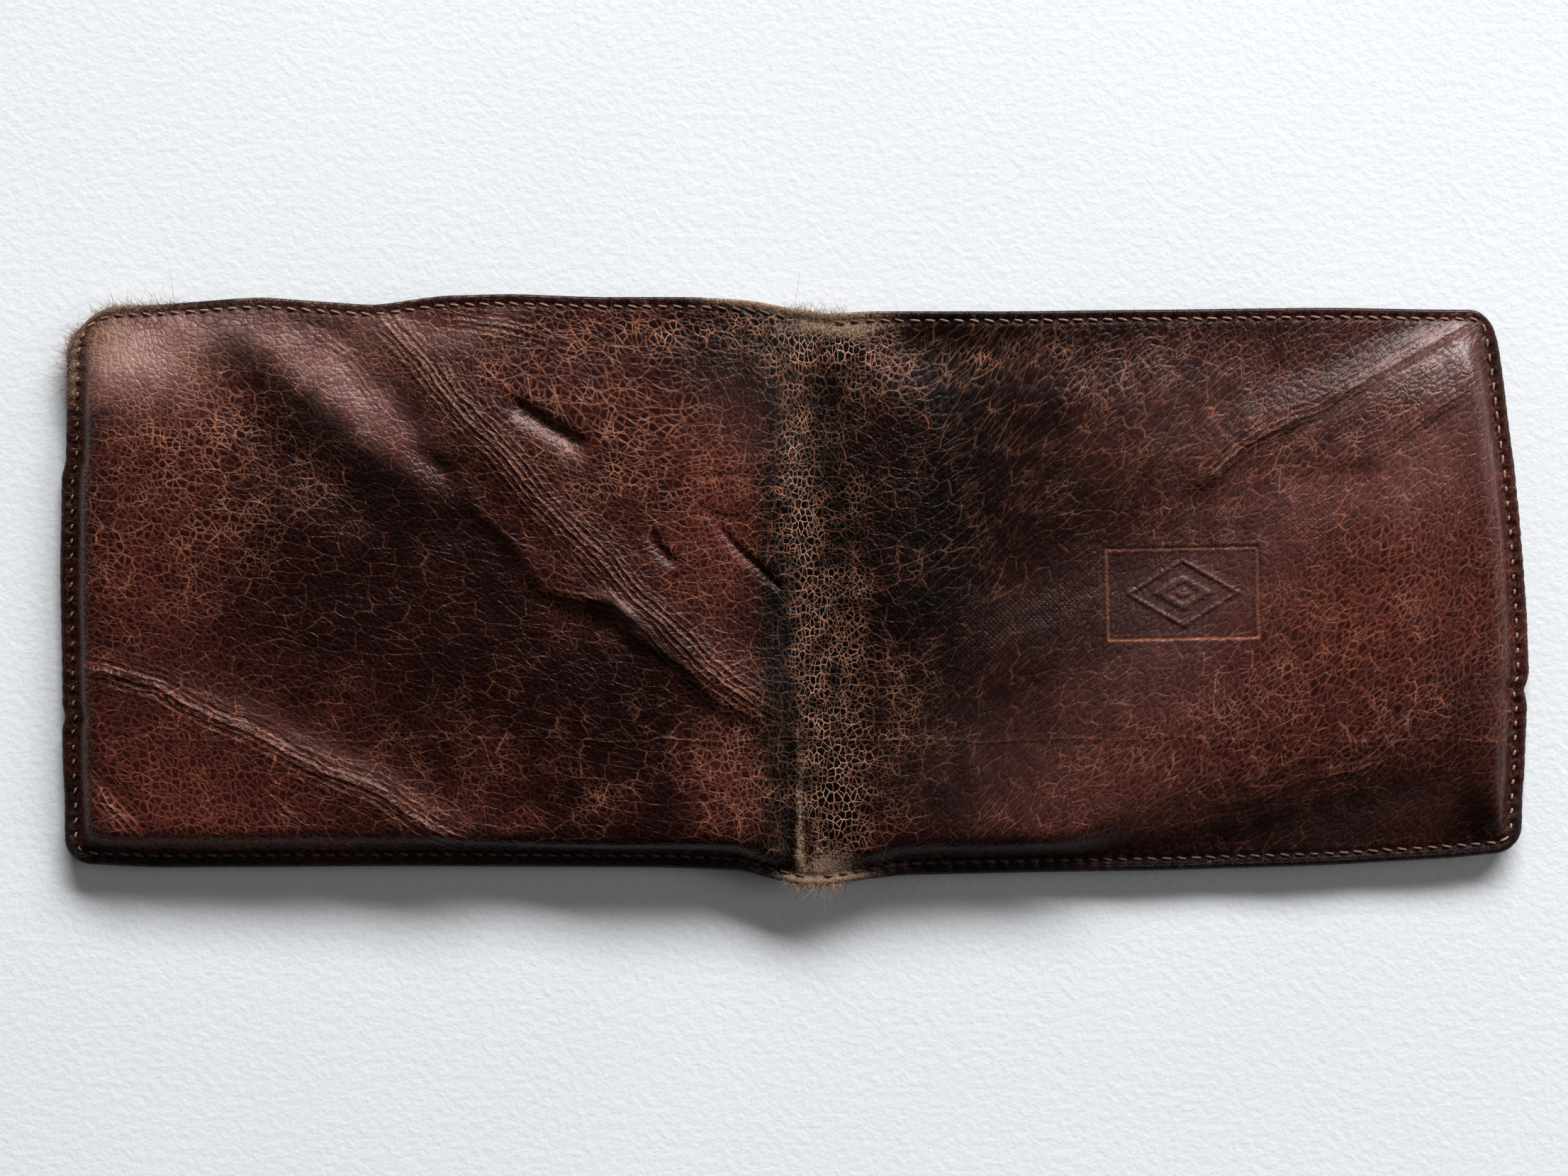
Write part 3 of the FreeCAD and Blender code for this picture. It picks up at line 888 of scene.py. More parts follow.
    @staticmethod
    def worn_lines(grain: LeatherGrain, shade: Signal, crack: Signal) -> Signal:
        """Where the coat has opened.

        Args:
            grain: the leather's grain.
            shade: 0 where the coat is darkest, 1 where it is reddest.
            crack: how far the leather has cracked.

        Returns:
            1 on a line: round the pebbles where it is much cracked, drawn out where it is less so.
        """
        broken = grain.broken
        reach = crack * 0.085 + 0.006
        thin = 1.0 - (grain.pebbles - reach * (broken * broken * 3.0)).ramp(0.0, 0.026)
        drawn_thin = 1.0 - (grain.short - reach * broken * 0.5).ramp(0.008, 0.050)
        drawn_long = 1.0 - (grain.long - reach * broken * 0.3).ramp(0.006, 0.040)
        visible = (crack * 2.2 + (broken - 0.5) * 1.8 - 0.28).clip()
        seen = (crack * 1.8 + (broken - 0.5) * 2.0 - 0.13).clip()
        far = (crack * 0.9 + (grain.patch - 0.5) * 1.6 + (broken - 0.5) * 1.2 + 0.28).clip()
        drawn_share = (1.3 - crack * 1.9).clip()
        lines = (thin * visible).most((drawn_thin * seen).most(drawn_long * far) * drawn_share)
        lines = lines * ((shade + crack * 2.2) * 0.85 + 0.22).clip()
        return (lines * (0.5 + grain.fine)).clip()

    @staticmethod
    def domes(grain: LeatherGrain) -> Signal:
        """Height of the pebbles."""
        return (
            grain.pebbles.ramp(0.0, 0.30) * 0.45
            + grain.short.ramp(0.0, 0.14) * 0.25
            + grain.long.ramp(0.0, 0.08) * 0.25
        )

    @staticmethod
    def imprint(paint: Paint, place: bpy.types.NodeSocket) -> Signal:
        """Two crossed sets of diagonal bands."""
        return paint.bands(place) * paint.bands(paint.times(place, (1.0, -1.0, 1.0)))

    def crease(self, paint: Paint, place: bpy.types.NodeSocket) -> tuple[Signal, Signal]:
        """Waves of fine ridges that follow the creases, from -1 to 1, and how strong they are."""
        parts = paint.node("ShaderNodeSeparateXYZ", {}, {0: paint.vector("fold")})
        across, along, strength = (Signal(paint, socket) for socket in parts.outputs)
        sway = (paint.noise(place, 4.2, 2.0, 0.6) - 0.5) * 1.3
        turn = (across + sway) * (2 * np.pi / self.ridge) + (along * 0.5).cosine() * 0.5
        return turn.cosine(), strength


@dataclass(frozen=True)
class PocketLeather:
    """Smoother leather of the card slots and slip panels."""

    dark: Colour = (0.022, 0.010, 0.008)
    brown: Colour = (0.075, 0.026, 0.018)

    def build(self) -> bpy.types.Material:
        """Fine cells over a mottled brown."""
        paint = Paint("pocket_leather", Specular_IOR_Level=0.45)
        place = paint.place()
        pushed = paint.swirl(place, 1.6, 0.25)
        cells = Signal(paint, paint.cells(pushed, 0.7).outputs["Distance"])
        patch = paint.noise(place, 9.0, 4.0, 0.6)
        fine = paint.noise(place, 0.4, 3.0, 0.6)
        colour = paint.mix((patch * 1.3 - 0.2 + (fine - 0.5) * 0.3).clip(), self.dark, self.brown)
        rough = 0.5 + (patch - 0.5) * 0.2
        return paint.finish(colour, rough, cells.ramp(0.0, 0.35) * 0.7 + fine * 0.3, 0.07)


@dataclass(frozen=True)
class LiningCloth:
    """Plain-weave lining."""

    shadow: Colour = (0.012, 0.010, 0.010)
    light: Colour = (0.055, 0.045, 0.042)

    def build(self) -> bpy.types.Material:
        """Two crossed sets of bands, 0.45 mm apart, make the weave."""
        paint = Paint("lining_cloth", Specular_IOR_Level=0.2, Sheen_Weight=0.0)
        place = paint.place()
        warp = paint.number("ShaderNodeTexWave", {"bands_direction": "X"}, {"Vector": place, "Scale": 0.7})
        weft = paint.number("ShaderNodeTexWave", {"bands_direction": "Y"}, {"Vector": place, "Scale": 0.7})
        slub = paint.noise(place, 2.5, 3.0, 0.6)
        weave = (warp * weft) + (1.0 - warp) * (1.0 - weft)
        colour = paint.mix((weave * 0.6 + (slub - 0.4)).clip(), self.shadow, self.light)
        return paint.finish(colour, 0.8 + (slub - 0.5) * 0.1, weave, 0.06)


@dataclass(frozen=True)
class Board:
    """Grey-brown fibre board."""

    light: Colour = (0.42, 0.36, 0.28)
    dark: Colour = (0.28, 0.23, 0.17)

    def build(self) -> bpy.types.Material:
        """Mottled fibres."""
        paint = Paint("fibre_board", Specular_IOR_Level=0.2)
        place = paint.place()
        fibre = paint.noise(paint.times(place, (0.3, 1.0, 1.0)), 0.6, 4.0, 0.7)
        return paint.finish(paint.mix(fibre, self.dark, self.light), 0.85, fibre, 0.05)


@dataclass(frozen=True)
class Thread:
    """Two-ply sewing thread, darker in places."""

    pale_thread: Colour = (0.44, 0.25, 0.17)
    dark_thread: Colour = (0.10, 0.05, 0.036)

    def build(self) -> bpy.types.Material:
        """The twist runs across each stitch; the thread is darker along the bottom edge and near the spine,
        paler at the outer ends.
        """
        paint = Paint("sewing_thread", Specular_IOR_Level=0.25, Sheen_Weight=0.15)
        place = paint.place()
        lay, _, _, thread_darkening = paint.channels("thread")
        fine = paint.noise(place, 0.25, 2.0, 0.6)
        patch = paint.noise(place, 6.0, 3.0, 0.6)
        twist = paint.number("ShaderNodeMath", {"operation": "SINE"}, {0: lay * 44.0})
        thread_darkness = (thread_darkening + (patch - 0.5) * 1.0 + (fine - 0.5) * 0.6).clip()
        colour = paint.mix(thread_darkness, self.pale_thread, self.dark_thread)
        return paint.finish(colour, 0.8, twist * 0.3 + 0.5 + fine * 0.3, 0.06)


@dataclass(frozen=True)
class Fibre:
    """Loose fibres where the leather has worn through to its flesh side."""

    pale: Colour = (0.55, 0.36, 0.25)
    dull: Colour = (0.20, 0.10, 0.06)

    def build(self) -> bpy.types.Material:
        """Pale, matt and uneven."""
        paint = Paint("leather_fibre", Specular_IOR_Level=0.15, Sheen_Weight=0.3)
        fine = paint.noise(paint.place(), 0.8, 2.0, 0.6)
        return paint.finish(paint.mix(fine.ramp(0.3, 0.7), self.dull, self.pale), 0.9, fine, 0.03)


# ---------------------------------------------------------------- the cover


@dataclass(frozen=True)
class Mark:
    """Frame pressed into the right panel, with a plain lozenge in it."""

    centre: Point = (59.8, -0.6)
    size: Point = (23.2, 13.9)
    turn: float = 1.2
    line: float = 0.20
    depth: float = 0.24

    def inside(self, x: Grid, y: Grid) -> tuple[Grid, Grid]:
        """Coordinates from the middle of the frame, in its own directions."""
        angle = np.radians(self.turn)
        dx, dy = x - self.centre[0], y - self.centre[1]
        return dx * np.cos(angle) + dy * np.sin(angle), dy * np.cos(angle) - dx * np.sin(angle)

    def lines(self, x: Grid, y: Grid) -> Grid:
        """1 on the frame's line, as a bell across it."""
        a, b = self.inside(x, y)
        gap = np.maximum(np.abs(a) - self.size[0] / 2, np.abs(b) - self.size[1] / 2)
        return np.exp(-((gap / self.line) ** 2))

    def colour(self, x: Grid, y: Grid) -> Grid:
        """How far the pressed line shows the rust-coloured leather, with a painted highlight that makes it
        brighter along its lower side, which faces the light.
        """
        return self.lines(x, y) * (0.42 + 0.5 * smoothstep(-self.inside(x, y)[1], 5.5, 6.5))

    def relief(self, x: Grid, y: Grid) -> Grid:
        """Pressed line and floor, with two raised lozenges, one inside the other."""
        a, b = self.inside(x, y)
        lozenge = np.abs(a) / 8.4 + np.abs(b) / 5.0
        outer = np.exp(-(((lozenge - 1.0) / 0.06) ** 2))
        inner = smoothstep(-lozenge, -0.62, -0.46)
        core = np.exp(-(((lozenge - 0.25) / 0.08) ** 2))
        shape = 0.26 * outer + 0.24 * inner - 0.2 * core
        return shape - 0.12 * self.floor(x, y) - self.depth * self.lines(x, y)

    def floor(self, x: Grid, y: Grid) -> Grid:
        """1 inside the frame, as a ramp 1 mm wide."""
        a, b = self.inside(x, y)
        gap = np.maximum(np.abs(a) - self.size[0] / 2, np.abs(b) - self.size[1] / 2)
        return smoothstep(-gap, 0.0, 1.0)


MARK = Mark()


@dataclass(frozen=True)
class Relief:
    """Height of all creases, folds and dents, and what the finish reads of them."""

    height: Grid
    rubbed: Grid
    hollow: Grid
    across: Grid
    along: Grid
    strength: Grid

    @classmethod
    def over(cls, x: Grid, y: Grid) -> "Relief":
        """Adds up the features; the fine ridges follow whichever crease is strongest at a point."""
        height, rubbed, hollow = np.zeros_like(x), np.zeros_like(x), np.zeros_like(x)
        across, along, strength = np.zeros_like(x), np.zeros_like(x), np.zeros_like(x)
        for crease in CREASES:
            relief = crease.relief(x, y)
            height += relief
            rubbed += relief / crease.height * min(1.0, crease.height / 0.25)
            here, run, strong = crease.place(x, y)
            strong = strong * crease.fine
            best = strong > strength
            across = np.where(best, here, across)
            along = np.where(best, run, along)
            strength = np.maximum(strength, strong)
        for fold in FOLDS:
            height += fold.relief(x, y)
        for dent in DENTS:
            relief = dent.relief(x, y)
            height += relief
            hollow += np.clip(np.abs(relief) / 0.6, 0, 1)
        return cls(height, rubbed, hollow, across, along, strength)


@dataclass(frozen=True)
class Patch:
    """Soft oval stretch of the leather with its own tone."""

    centre: Point
    size: Point
    turn: float
    amount: float

    def over(self, x: Grid, y: Grid) -> Grid:
        """Its share at each point."""
        return self.amount * blob(x, y, self.centre, self.size, self.turn)


RED_PATCHES = (
    Patch((-92, -33), (26, 10), -24, 0.55),
    Patch((-10, 12), (9, 13), 0, 0.92),
    Patch((-28, 28), (13, 12), -30, 0.30),
    Patch((-9, -29), (7, 12), 0, 0.50),
    Patch((-45, -24), (13, 9), 0, 0.16),
    Patch((-100, 8), (13, 26), 0, 0.30),
    Patch((-80, 32), (24, 7), 25, 0.22),
    Patch((-103, 35), (9, 8), 0, 0.30),
    Patch((-66, 26), (12, 3.5), -42, 0.55),
    Patch((91, 1), (24, 19), -12, 0.76),
    Patch((98, 24), (13, 9), 25, 0.30),
    Patch((60, -30), (28, 7), 12, 0.34),
    Patch((62, -17), (20, 9), 0, 0.22),
    Patch((36, -24), (16, 9), 0, 0.22),
    Patch((48, 20), (16, 10), 30, 0.18),
    Patch((-62, -30), (18, 6), -28, 0.16),
)

# Darker tone, mostly the leather's own. Some patches are painted shade on slopes that face away from the
# light: the diagonal band at (-72, 26), the strip at (84, -34) and the thin strips along the bottom edge.
DARK_AND_SHADED_PATCHES = (
    # painted shade on the side of a fold that faces away from the light
    Patch((-72, 26), (24, 7), -42, 0.45),
    Patch((-64, -1), (26, 14), -20, 0.34),
    Patch((-34, -22), (26, 12), -20, 0.30),
    Patch((-24, 30), (18, 12), -30, 0.16),
    Patch((24, 16), (15, 36), -8, 0.75),
    Patch((24, -20), (14, 20), 0, 0.30),
    Patch((-9, 36), (9, 9), 0, 0.45),
    Patch((46, 2), (16, 16), 30, 0.30),
    Patch((62, 30), (26, 10), 0, 0.16),
    # painted shade on the bottom right slope, which faces away from the light
    Patch((84, -34), (24, 3.2), 18, 0.26),
    # painted shade along the bottom edge, which faces away from the light (this and the next two)
    Patch((-30, -40), (26, 3), 0, 0.60),
    Patch((60, -40), (50, 2.5), 3, 0.30),
    Patch((-100, -43), (30, 2.0), 0, 0.4),
)

CRACK_PATCHES = (
    Patch((52, 22), (32, 16), 12, 0.10),
    Patch((58, -24), (34, 12), 8, 0.09),
    Patch((1.5, 6), (3.6, 38), 4, 0.50),
    Patch((8.5, -6), (3.4, 34), 0, 0.28),
    Patch((9, 37), (10, 5), -30, 0.40),
    Patch((6, -34), (6, 12), 0, 0.32),
    Patch((-26, 22), (20, 14), -20, 0.27),
    Patch((-12, 40), (20, 4), 0, 0.30),
    Patch((42, 36), (30, 6), 0, 0.17),
    Patch((24, 12), (12, 22), -20, 0.06),
    Patch((-92, 18), (22, 20), 0, 0.26),
    Patch((-103, 36), (10, 8), 0, 0.30),
    Patch((-60, 38), (30, 6), 0, 0.20),
    Patch((-40, -28), (34, 12), 0, 0.12),
    Patch((80, 20), (24, 10), 20, 0.10),
    Patch((84, -12), (30, 12), 0, 0.10),
    Patch((-9, -25), (7, 15), 0, 0.22),
    Patch((16, -20), (6, 14), 0, 0.25),
)

WEAR_PATCHES = (
    Patch((6, -44.5), (5.0, 4.2), 0, 1.0),
    Patch((5, 40.6), (12, 1.7), 0, 0.62),
    Patch((10, 38), (5, 2.5), 0, 0.25),
    Patch((2.6, 8), (1.6, 30), 2, 0.22),
    Patch((0.7, -36), (0.8, 12), 0, 0.60),
    Patch((-66, 24), (4, 2), -40, 0.34),
    Patch((-105, 37), (8, 6), 0, 0.42),
    Patch((-88, 40), (9, 2), -10, 0.20),
    Patch((-23, -8), (4, 0.9), -35, 0.35),
)

EDGE_WEAR_PATCHES = (
    Patch((-111, 40), (7, 11), 0, 1.3),
    Patch((0, 45), (16, 4), 0, 1.0),
    Patch((4, -46), (9, 3), 0, 1.0),
    Patch((-80, 45), (22, 3), 0, 0.35),
)

SHINE_PATCHES = (
    Patch((100, 34), (16, 6), 32, 0.9),
    Patch((104, 18), (9, 12), 0, 0.5),
    Patch((-62, 41), (22, 3), 0, 0.8),
    Patch((-102, 36), (11, 8), 0, 1.0),
    Patch((-66, 26), (10, 3), -42, 0.6),
    Patch((60, 0), (13, 8), 0, 0.35),
    Patch((-28, -41), (22, 2.5), 0, 0.9),
    Patch((82, 10), (12, 9), 0, 0.4),
    Patch((80, -36), (26, 4), 14, 0.5),
)

# Painted sheen: patches where the colour is mixed towards a pale grey, standing in for reflected light.
PAINTED_SHEEN_PATCHES = (
    Patch((-102, 36), (10, 7), 10, 0.84),
    Patch((-92, 41), (16, 3.2), -8, 0.64),
    Patch((-70, 32), (13, 5), -42, 0.50),
    Patch((-64, 41), (12, 3), -12, 0.42),
    Patch((-48, 41), (6, 1.8), 20, 0.30),
    Patch((-36.5, 22.5), (5.5, 1.5), -40, 0.25),
    Patch((-26, -3.4), (4, 1.4), -40, 0.30),
    Patch((-8, 28), (8, 8), 0, 0.10),
    Patch((96, 36), (17, 2.4), 32, 0.42),
    Patch((103, 32), (8, 7), 30, 0.24),
    Patch((100, 20), (12, 7), 10, 0.22),
    Patch((92, -34), (16, 4), 14, 0.13),
    Patch((60, -33), (22, 5), 6, 0.07),
    Patch((74, 10), (14, 8), 20, 0.24),
    Patch((58, -2), (14, 9), 0, 0.22),
    Patch((54, -14), (14, 7), 0, 0.13),
    Patch((60, 26), (20, 9), 20, 0.10),
    Patch((36, -26), (18, 9), 0, 0.13),
    Patch((38, -4), (12, 5), 22, 0.10),
    Patch((-74, -24), (18, 2.5), -28, 0.16),
)

# How far the leather is blackened: mostly its own black, with one strip of painted shade.
BLACK_AND_SHADED_PATCHES = (
    Patch((-5, 6), (5, 34), 0, 0.45),
    Patch((22, 10), (10, 36), -6, 0.85),
    Patch((-8, 38), (8, 7), 0, 0.40),
    # painted shade on the bottom right slope, which faces away from the light
    Patch((70, -36), (18, 2.5), 22, 0.35),
    Patch((-66, 17), (18, 4.5), -42, 0.30),
    Patch((-22, -16), (18, 4), -35, 0.25),
)

WEAVE_PATCHES = (
    Patch((32, -6), (13, 4.5), 24, 1.0),
    Patch((80, 10), (6, 5), 0, 0.7),
    Patch((44, -1), (7, 4), 24, 0.5),
)


def total(patches: Iterable[Patch], x: Grid, y: Grid) -> Grid:
    """Sum of patches."""
    return sum(patch.over(x, y) for patch in patches)


@dataclass
class Cover:
    """Half of the cover leather: its outside, the turned edge and the lip under it."""

    name: str
    side: int
    spacing: float = 0.40
    fine: float = 0.24
    fine_reach: tuple[Point, Point] | None = None
    lip: float = 2.5
    lip_thickness: float = 0.35
    seam_band: float = 3.2
    roll_steps: int = 9
    flat: Point = (0.1185, 0.098)

    def lines(self, start: float, end: float, span: Point | None) -> Grid:
        """Places of the grid's lines from start to end, closer together inside the span."""
        low, high = min(start, end), max(start, end)
        dense = np.linspace(low, high, 4000)
        rate = np.full(dense.shape, 1 / self.spacing)
        if span:
            rate = rate + (1 / self.fine - 1 / self.spacing) * smoothstep(dense, span[0] - 2, span[0])
            rate = rate - (1 / self.fine - 1 / self.spacing) * smoothstep(dense, span[1], span[1] + 2)
        count = np.concatenate([[0], np.cumsum((rate[1:] + rate[:-1]) / 2 * np.diff(dense))])
        places = np.interp(np.linspace(0, count[-1], int(count[-1]) + 1), count, dense)
        return places if start < end else places[::-1]

    def surface(self, u: Grid, v: Grid) -> tuple[Grid, dict[str, Grid]]:
        """Top of the leather with every crease, and the masks that its finish reads.

        Args:
            u: flat length coordinate.
            v: flat height coordinate.

        Returns:
            Points, rows by columns by 3, and the masks by name.
        """
        x, y = FORM.plan(u, v)
        relief = Relief.over(x, y)
        edge = np.minimum(FORM.half_length - np.abs(u), FORM.half_height - np.abs(v))
        seam = np.exp(-(((edge - SEAM_INSET) / 0.5) ** 2))
        calm = smoothstep(edge, 1.0, 4.0)
        along = np.where(FORM.half_height - np.abs(v) < self.seam_band, u, v)
        puckers = np.cos(2 * np.pi * along / SEAM_PITCH)
        z = FORM.slump(u, v) + relief.height * (0.2 + 0.8 * calm)
        z = z - 0.30 * seam - 0.10 * puckers * np.exp(-(((edge - SEAM_INSET) / 1.4) ** 2))
        z = z + 0.07 * ripple(x, y, 7.0, 11) + 0.03 * ripple(x, y, 2.6, 13) + 0.012 * ripple(x, y, 1.3, 17)
        z = z + MARK.relief(x, y)
        masks = self.masks(x, y, edge, seam, relief)
        return np.stack([x, y, z], axis=-1), masks

    def masks(self, x: Grid, y: Grid, edge: Grid, seam: Grid, relief: Relief) -> dict[str, Grid]:
        """Masks of the leather's finish.

        Args:
            x: first coordinate on the table.
            y: second coordinate on the table.
            edge: distance to the nearest edge of the flat leather.
            seam: 1 in the valley that the stitches pull in.
            relief: the creases, folds and dents.

        Returns:
            The masks by name, from 0 to 1 except the fine ridges' coordinates.
        """
        spine = FORM.spine_share(x, 7.5)
        # The reddish tone, less the dark patches, some of which are painted shade.
        red = 0.30 + total(RED_PATCHES, x, y) - total(DARK_AND_SHADED_PATCHES, x, y) + 0.10 * ripple(x, y, 30, 21)
        red = red - 0.05 - 0.45 * spine + 0.07 * ripple(x, y, 11, 22) - 0.02 * MARK.floor(x, y)
        crack = 0.07 + total(CRACK_PATCHES, x, y) * (1 + 0.30 * ripple(x, y, 5, 24))
        crack = crack + 0.07 * ripple(x, y, 15, 23) - 0.2 * MARK.floor(x, y)
        crack = crack + 0.15 * np.clip(relief.rubbed, 0, 1)
        border = smoothstep(-edge, -1.4, -0.2)
        wear = total(WEAR_PATCHES, x, y) + total(EDGE_WEAR_PATCHES, x, y) * border
        shine = 0.12 + total(SHINE_PATCHES, x, y) + 0.3 * np.clip(relief.rubbed, 0, 1) + 0.7 * relief.hollow
        # Side ridges: a little more wear, which makes them paler, partly real wear and partly a painted
        # highlight where they catch the light; also more gloss.
        ridge = np.exp(-(((edge - 2.6) / 0.8) ** 2)) * (np.abs(x) > 100)
        # Extra dark along the bottom edge, outside the spine: painted shade on the turned edge that faces
        # away from the light, on top of the real edge paint.
        below = smoothstep(-edge, -2.3, -1.3) * (y < -30) * (1 - spine)
        paint = 0.30 * (1 - smoothstep(edge, -0.2, 0.25)) + 0.42 * below
        groove = 0.45 * seam
        return {
            "red": red,
            "crack": crack,
            "wear": wear + 0.08 * ridge,
            "shine": shine + 0.25 * ridge,
            "paint": paint,
            "groove": groove,
            "weave": total(WEAVE_PATCHES, x, y),
            "pressed_line_and_highlight": MARK.colour(x, y),
            "across": relief.across,
            "along": relief.along,
            "strength": relief.strength,
        }

    def grain(self, x: Grid, y: Grid) -> tuple[Grid, Grid, Grid]:
        """Coordinates of the pebble pattern: closer across the spine, stretched up and down there."""
        squeeze = 4.2 * np.tanh((x - FORM.seam) / 8.5)
        near_left = 0.24 * blob(x, y, (-26, 32), (26, 16))
        near_right = 0.22 * blob(x, y, (34, 34), (26, 14))
        slant = -0.60 * (x - 12) * smoothstep(x, 12, 40) + 0.16 * (x + 12) * smoothstep(-x, 12, 40)
        first = x + squeeze - near_left * (x + 26) - near_right * (x - 32)
        second = 0.93 * y + slant - near_left * (y - 32) - near_right * (y - 34)
        sway = 0.8 * ripple(x, y, 30, 31)
        return first + sway, second, np.zeros_like(x)

    def build(self, material: bpy.types.Material) -> bpy.types.Object:
        """Makes the half: the grid, then rings that carry the turned edge and its lip."""
        outer = self.side * FORM.half_length
        reach = self.fine_reach or (None, None)
        across = self.lines(FORM.seam, outer, reach[0])
        up = self.lines(-FORM.half_height, FORM.half_height, reach[1])
        u, v = np.meshgrid(across, up)
        points, masks = self.surface(u, v)
        rows, columns = u.shape
        index = np.arange(rows * columns).reshape(rows, columns)
        rim = np.concatenate([index[0, :], index[1:, -1], index[-1, -2::-1]])
        rings = self.turned_edge(points.reshape(-1, 3)[rim], u.ravel()[rim], v.ravel()[rim])
        count = len(rim)
        chain = np.concatenate([rim, rows * columns + np.arange(len(rings) * count)]).reshape(-1, count)
        corners = (chain[:-1, :-1], chain[1:, :-1], chain[1:, 1:], chain[:-1, 1:])
        skirt = np.stack([corner.ravel() for corner in corners], axis=1)
        faces = np.concatenate([quads(rows, columns), skirt])
        if self.side < 0:
            faces = faces[:, ::-1]
        piece = make_piece(self.name, np.concatenate([points.reshape(-1, 3), rings.reshape(-1, 3)]), faces)
        self.store(piece, masks, rim, len(rings))
        dress(piece, material)
        return piece

    def turned_edge(self, rim: Grid, u: Grid, v: Grid) -> Grid:
        """Rings of points round the turned edge.

        Args:
            rim: points along the grid's border.
            u: their flat length coordinates.
            v: their flat height coordinates.

        Returns:
            Rings by points by 3: a half circle outwards and down, a flat lip inwards, and its end
            turned up.
        """
        tangent = np.gradient(rim[:, :2], axis=0)
        tangent /= np.linalg.norm(tangent, axis=1, keepdims=True)
        normal = np.stack([tangent[:, 1], -tangent[:, 0]], axis=1) * self.side
        normal[0], normal[-1] = (0, -1), (0, 1)
        radius = FORM.roll(u, v)
        radius = np.minimum(radius, (rim[:, 2] - 0.06) / 2)
        angles = np.linspace(0, np.pi, self.roll_steps + 1)[1:]
        out = [radius * np.sin(angle) for angle in angles]
        down = [radius * (1 - np.cos(angle)) for angle in angles]
        lip = self.lip * (0.85 + 0.1 * np.sin(u * 0.9) + 0.1 * np.sin(v * 1.3))
        for share, lift in ((0.5, 0.0), (0.93, 0.0), (1.0, 0.4), (1.0, 1.0)):
            out.append(-share * lip)
            down.append(2 * radius - lift * self.lip_thickness)
        out, down = np.array(out), np.array(down)
        flat = rim[None, :, :2] + out[:, :, None] * normal[None]
        height = rim[None, :, 2] - down
        turn = np.pi * np.clip(down / (2 * radius), 0, 1)
        crinkle = 0.07 * np.sin(2 * np.pi * (u + v) / 0.9) * np.sin(turn)
        return np.concatenate([flat, (height + crinkle)[..., None]], axis=2)

    def store(self, piece: bpy.types.Object, masks: dict[str, Grid], rim: Grid, rings: int) -> None:
        """Keeps the masks and the pebble coordinates.

        Args:
            piece: the half of the cover.
            masks: the masks on its grid, by name.
            rim: indices of the grid's border points.
            rings: number of rings round the turned edge, over which the border's values are
                carried unchanged, except that the edge paint grows from ring to ring.
        """
        flat = {name: mask.ravel() for name, mask in masks.items()}
        full = {name: np.concatenate([mask, np.tile(mask[rim], rings)]) for name, mask in flat.items()}
        start = masks["red"].size
        turned = np.zeros(len(full["red"]))
        turned[start:] = 1.0
        step = np.repeat(np.arange(1, rings + 1), len(rim))
        edge_paint = 0.95 * smoothstep(step, 2.2, 4.2)
        full["paint"][start:] = np.maximum(full["paint"][start:], edge_paint)
        points = np.empty(3 * len(piece.data.vertices), np.float32)
        piece.data.vertices.foreach_get("co", points)
        x, y, z = points.reshape(-1, 3).T / MM
        worn = full["wear"] * np.where(turned > 0, 1.15, 1.0)
        store_colour(piece, "tone", (full["red"], full["crack"], worn, full["shine"]))
        store_colour(piece, "trim", (full["paint"], full["groove"], full["weave"], full["pressed_line_and_highlight"]))
        gx, gy, gz = self.grain(x, y)
        store_vector(piece, "grain", (gx, gy + 0.7 * turned * z, gz))
        deep = 0.9 * FORM.spine_share(x, 8.0) + total(BLACK_AND_SHADED_PATCHES, x, y)
        # First channel: painted sheen, kept off the turned edge; second: how far the leather is blackened.
        store_colour(piece, "painted_sheen_and_black", (total(PAINTED_SHEEN_PATCHES, x, y) * (1 - turned), deep, 0 * x, 0 * x))
        store_vector(piece, "fold", (full["across"], full["along"], full["strength"] * (1 - turned)))


# ---------------------------------------------------------------- stitching


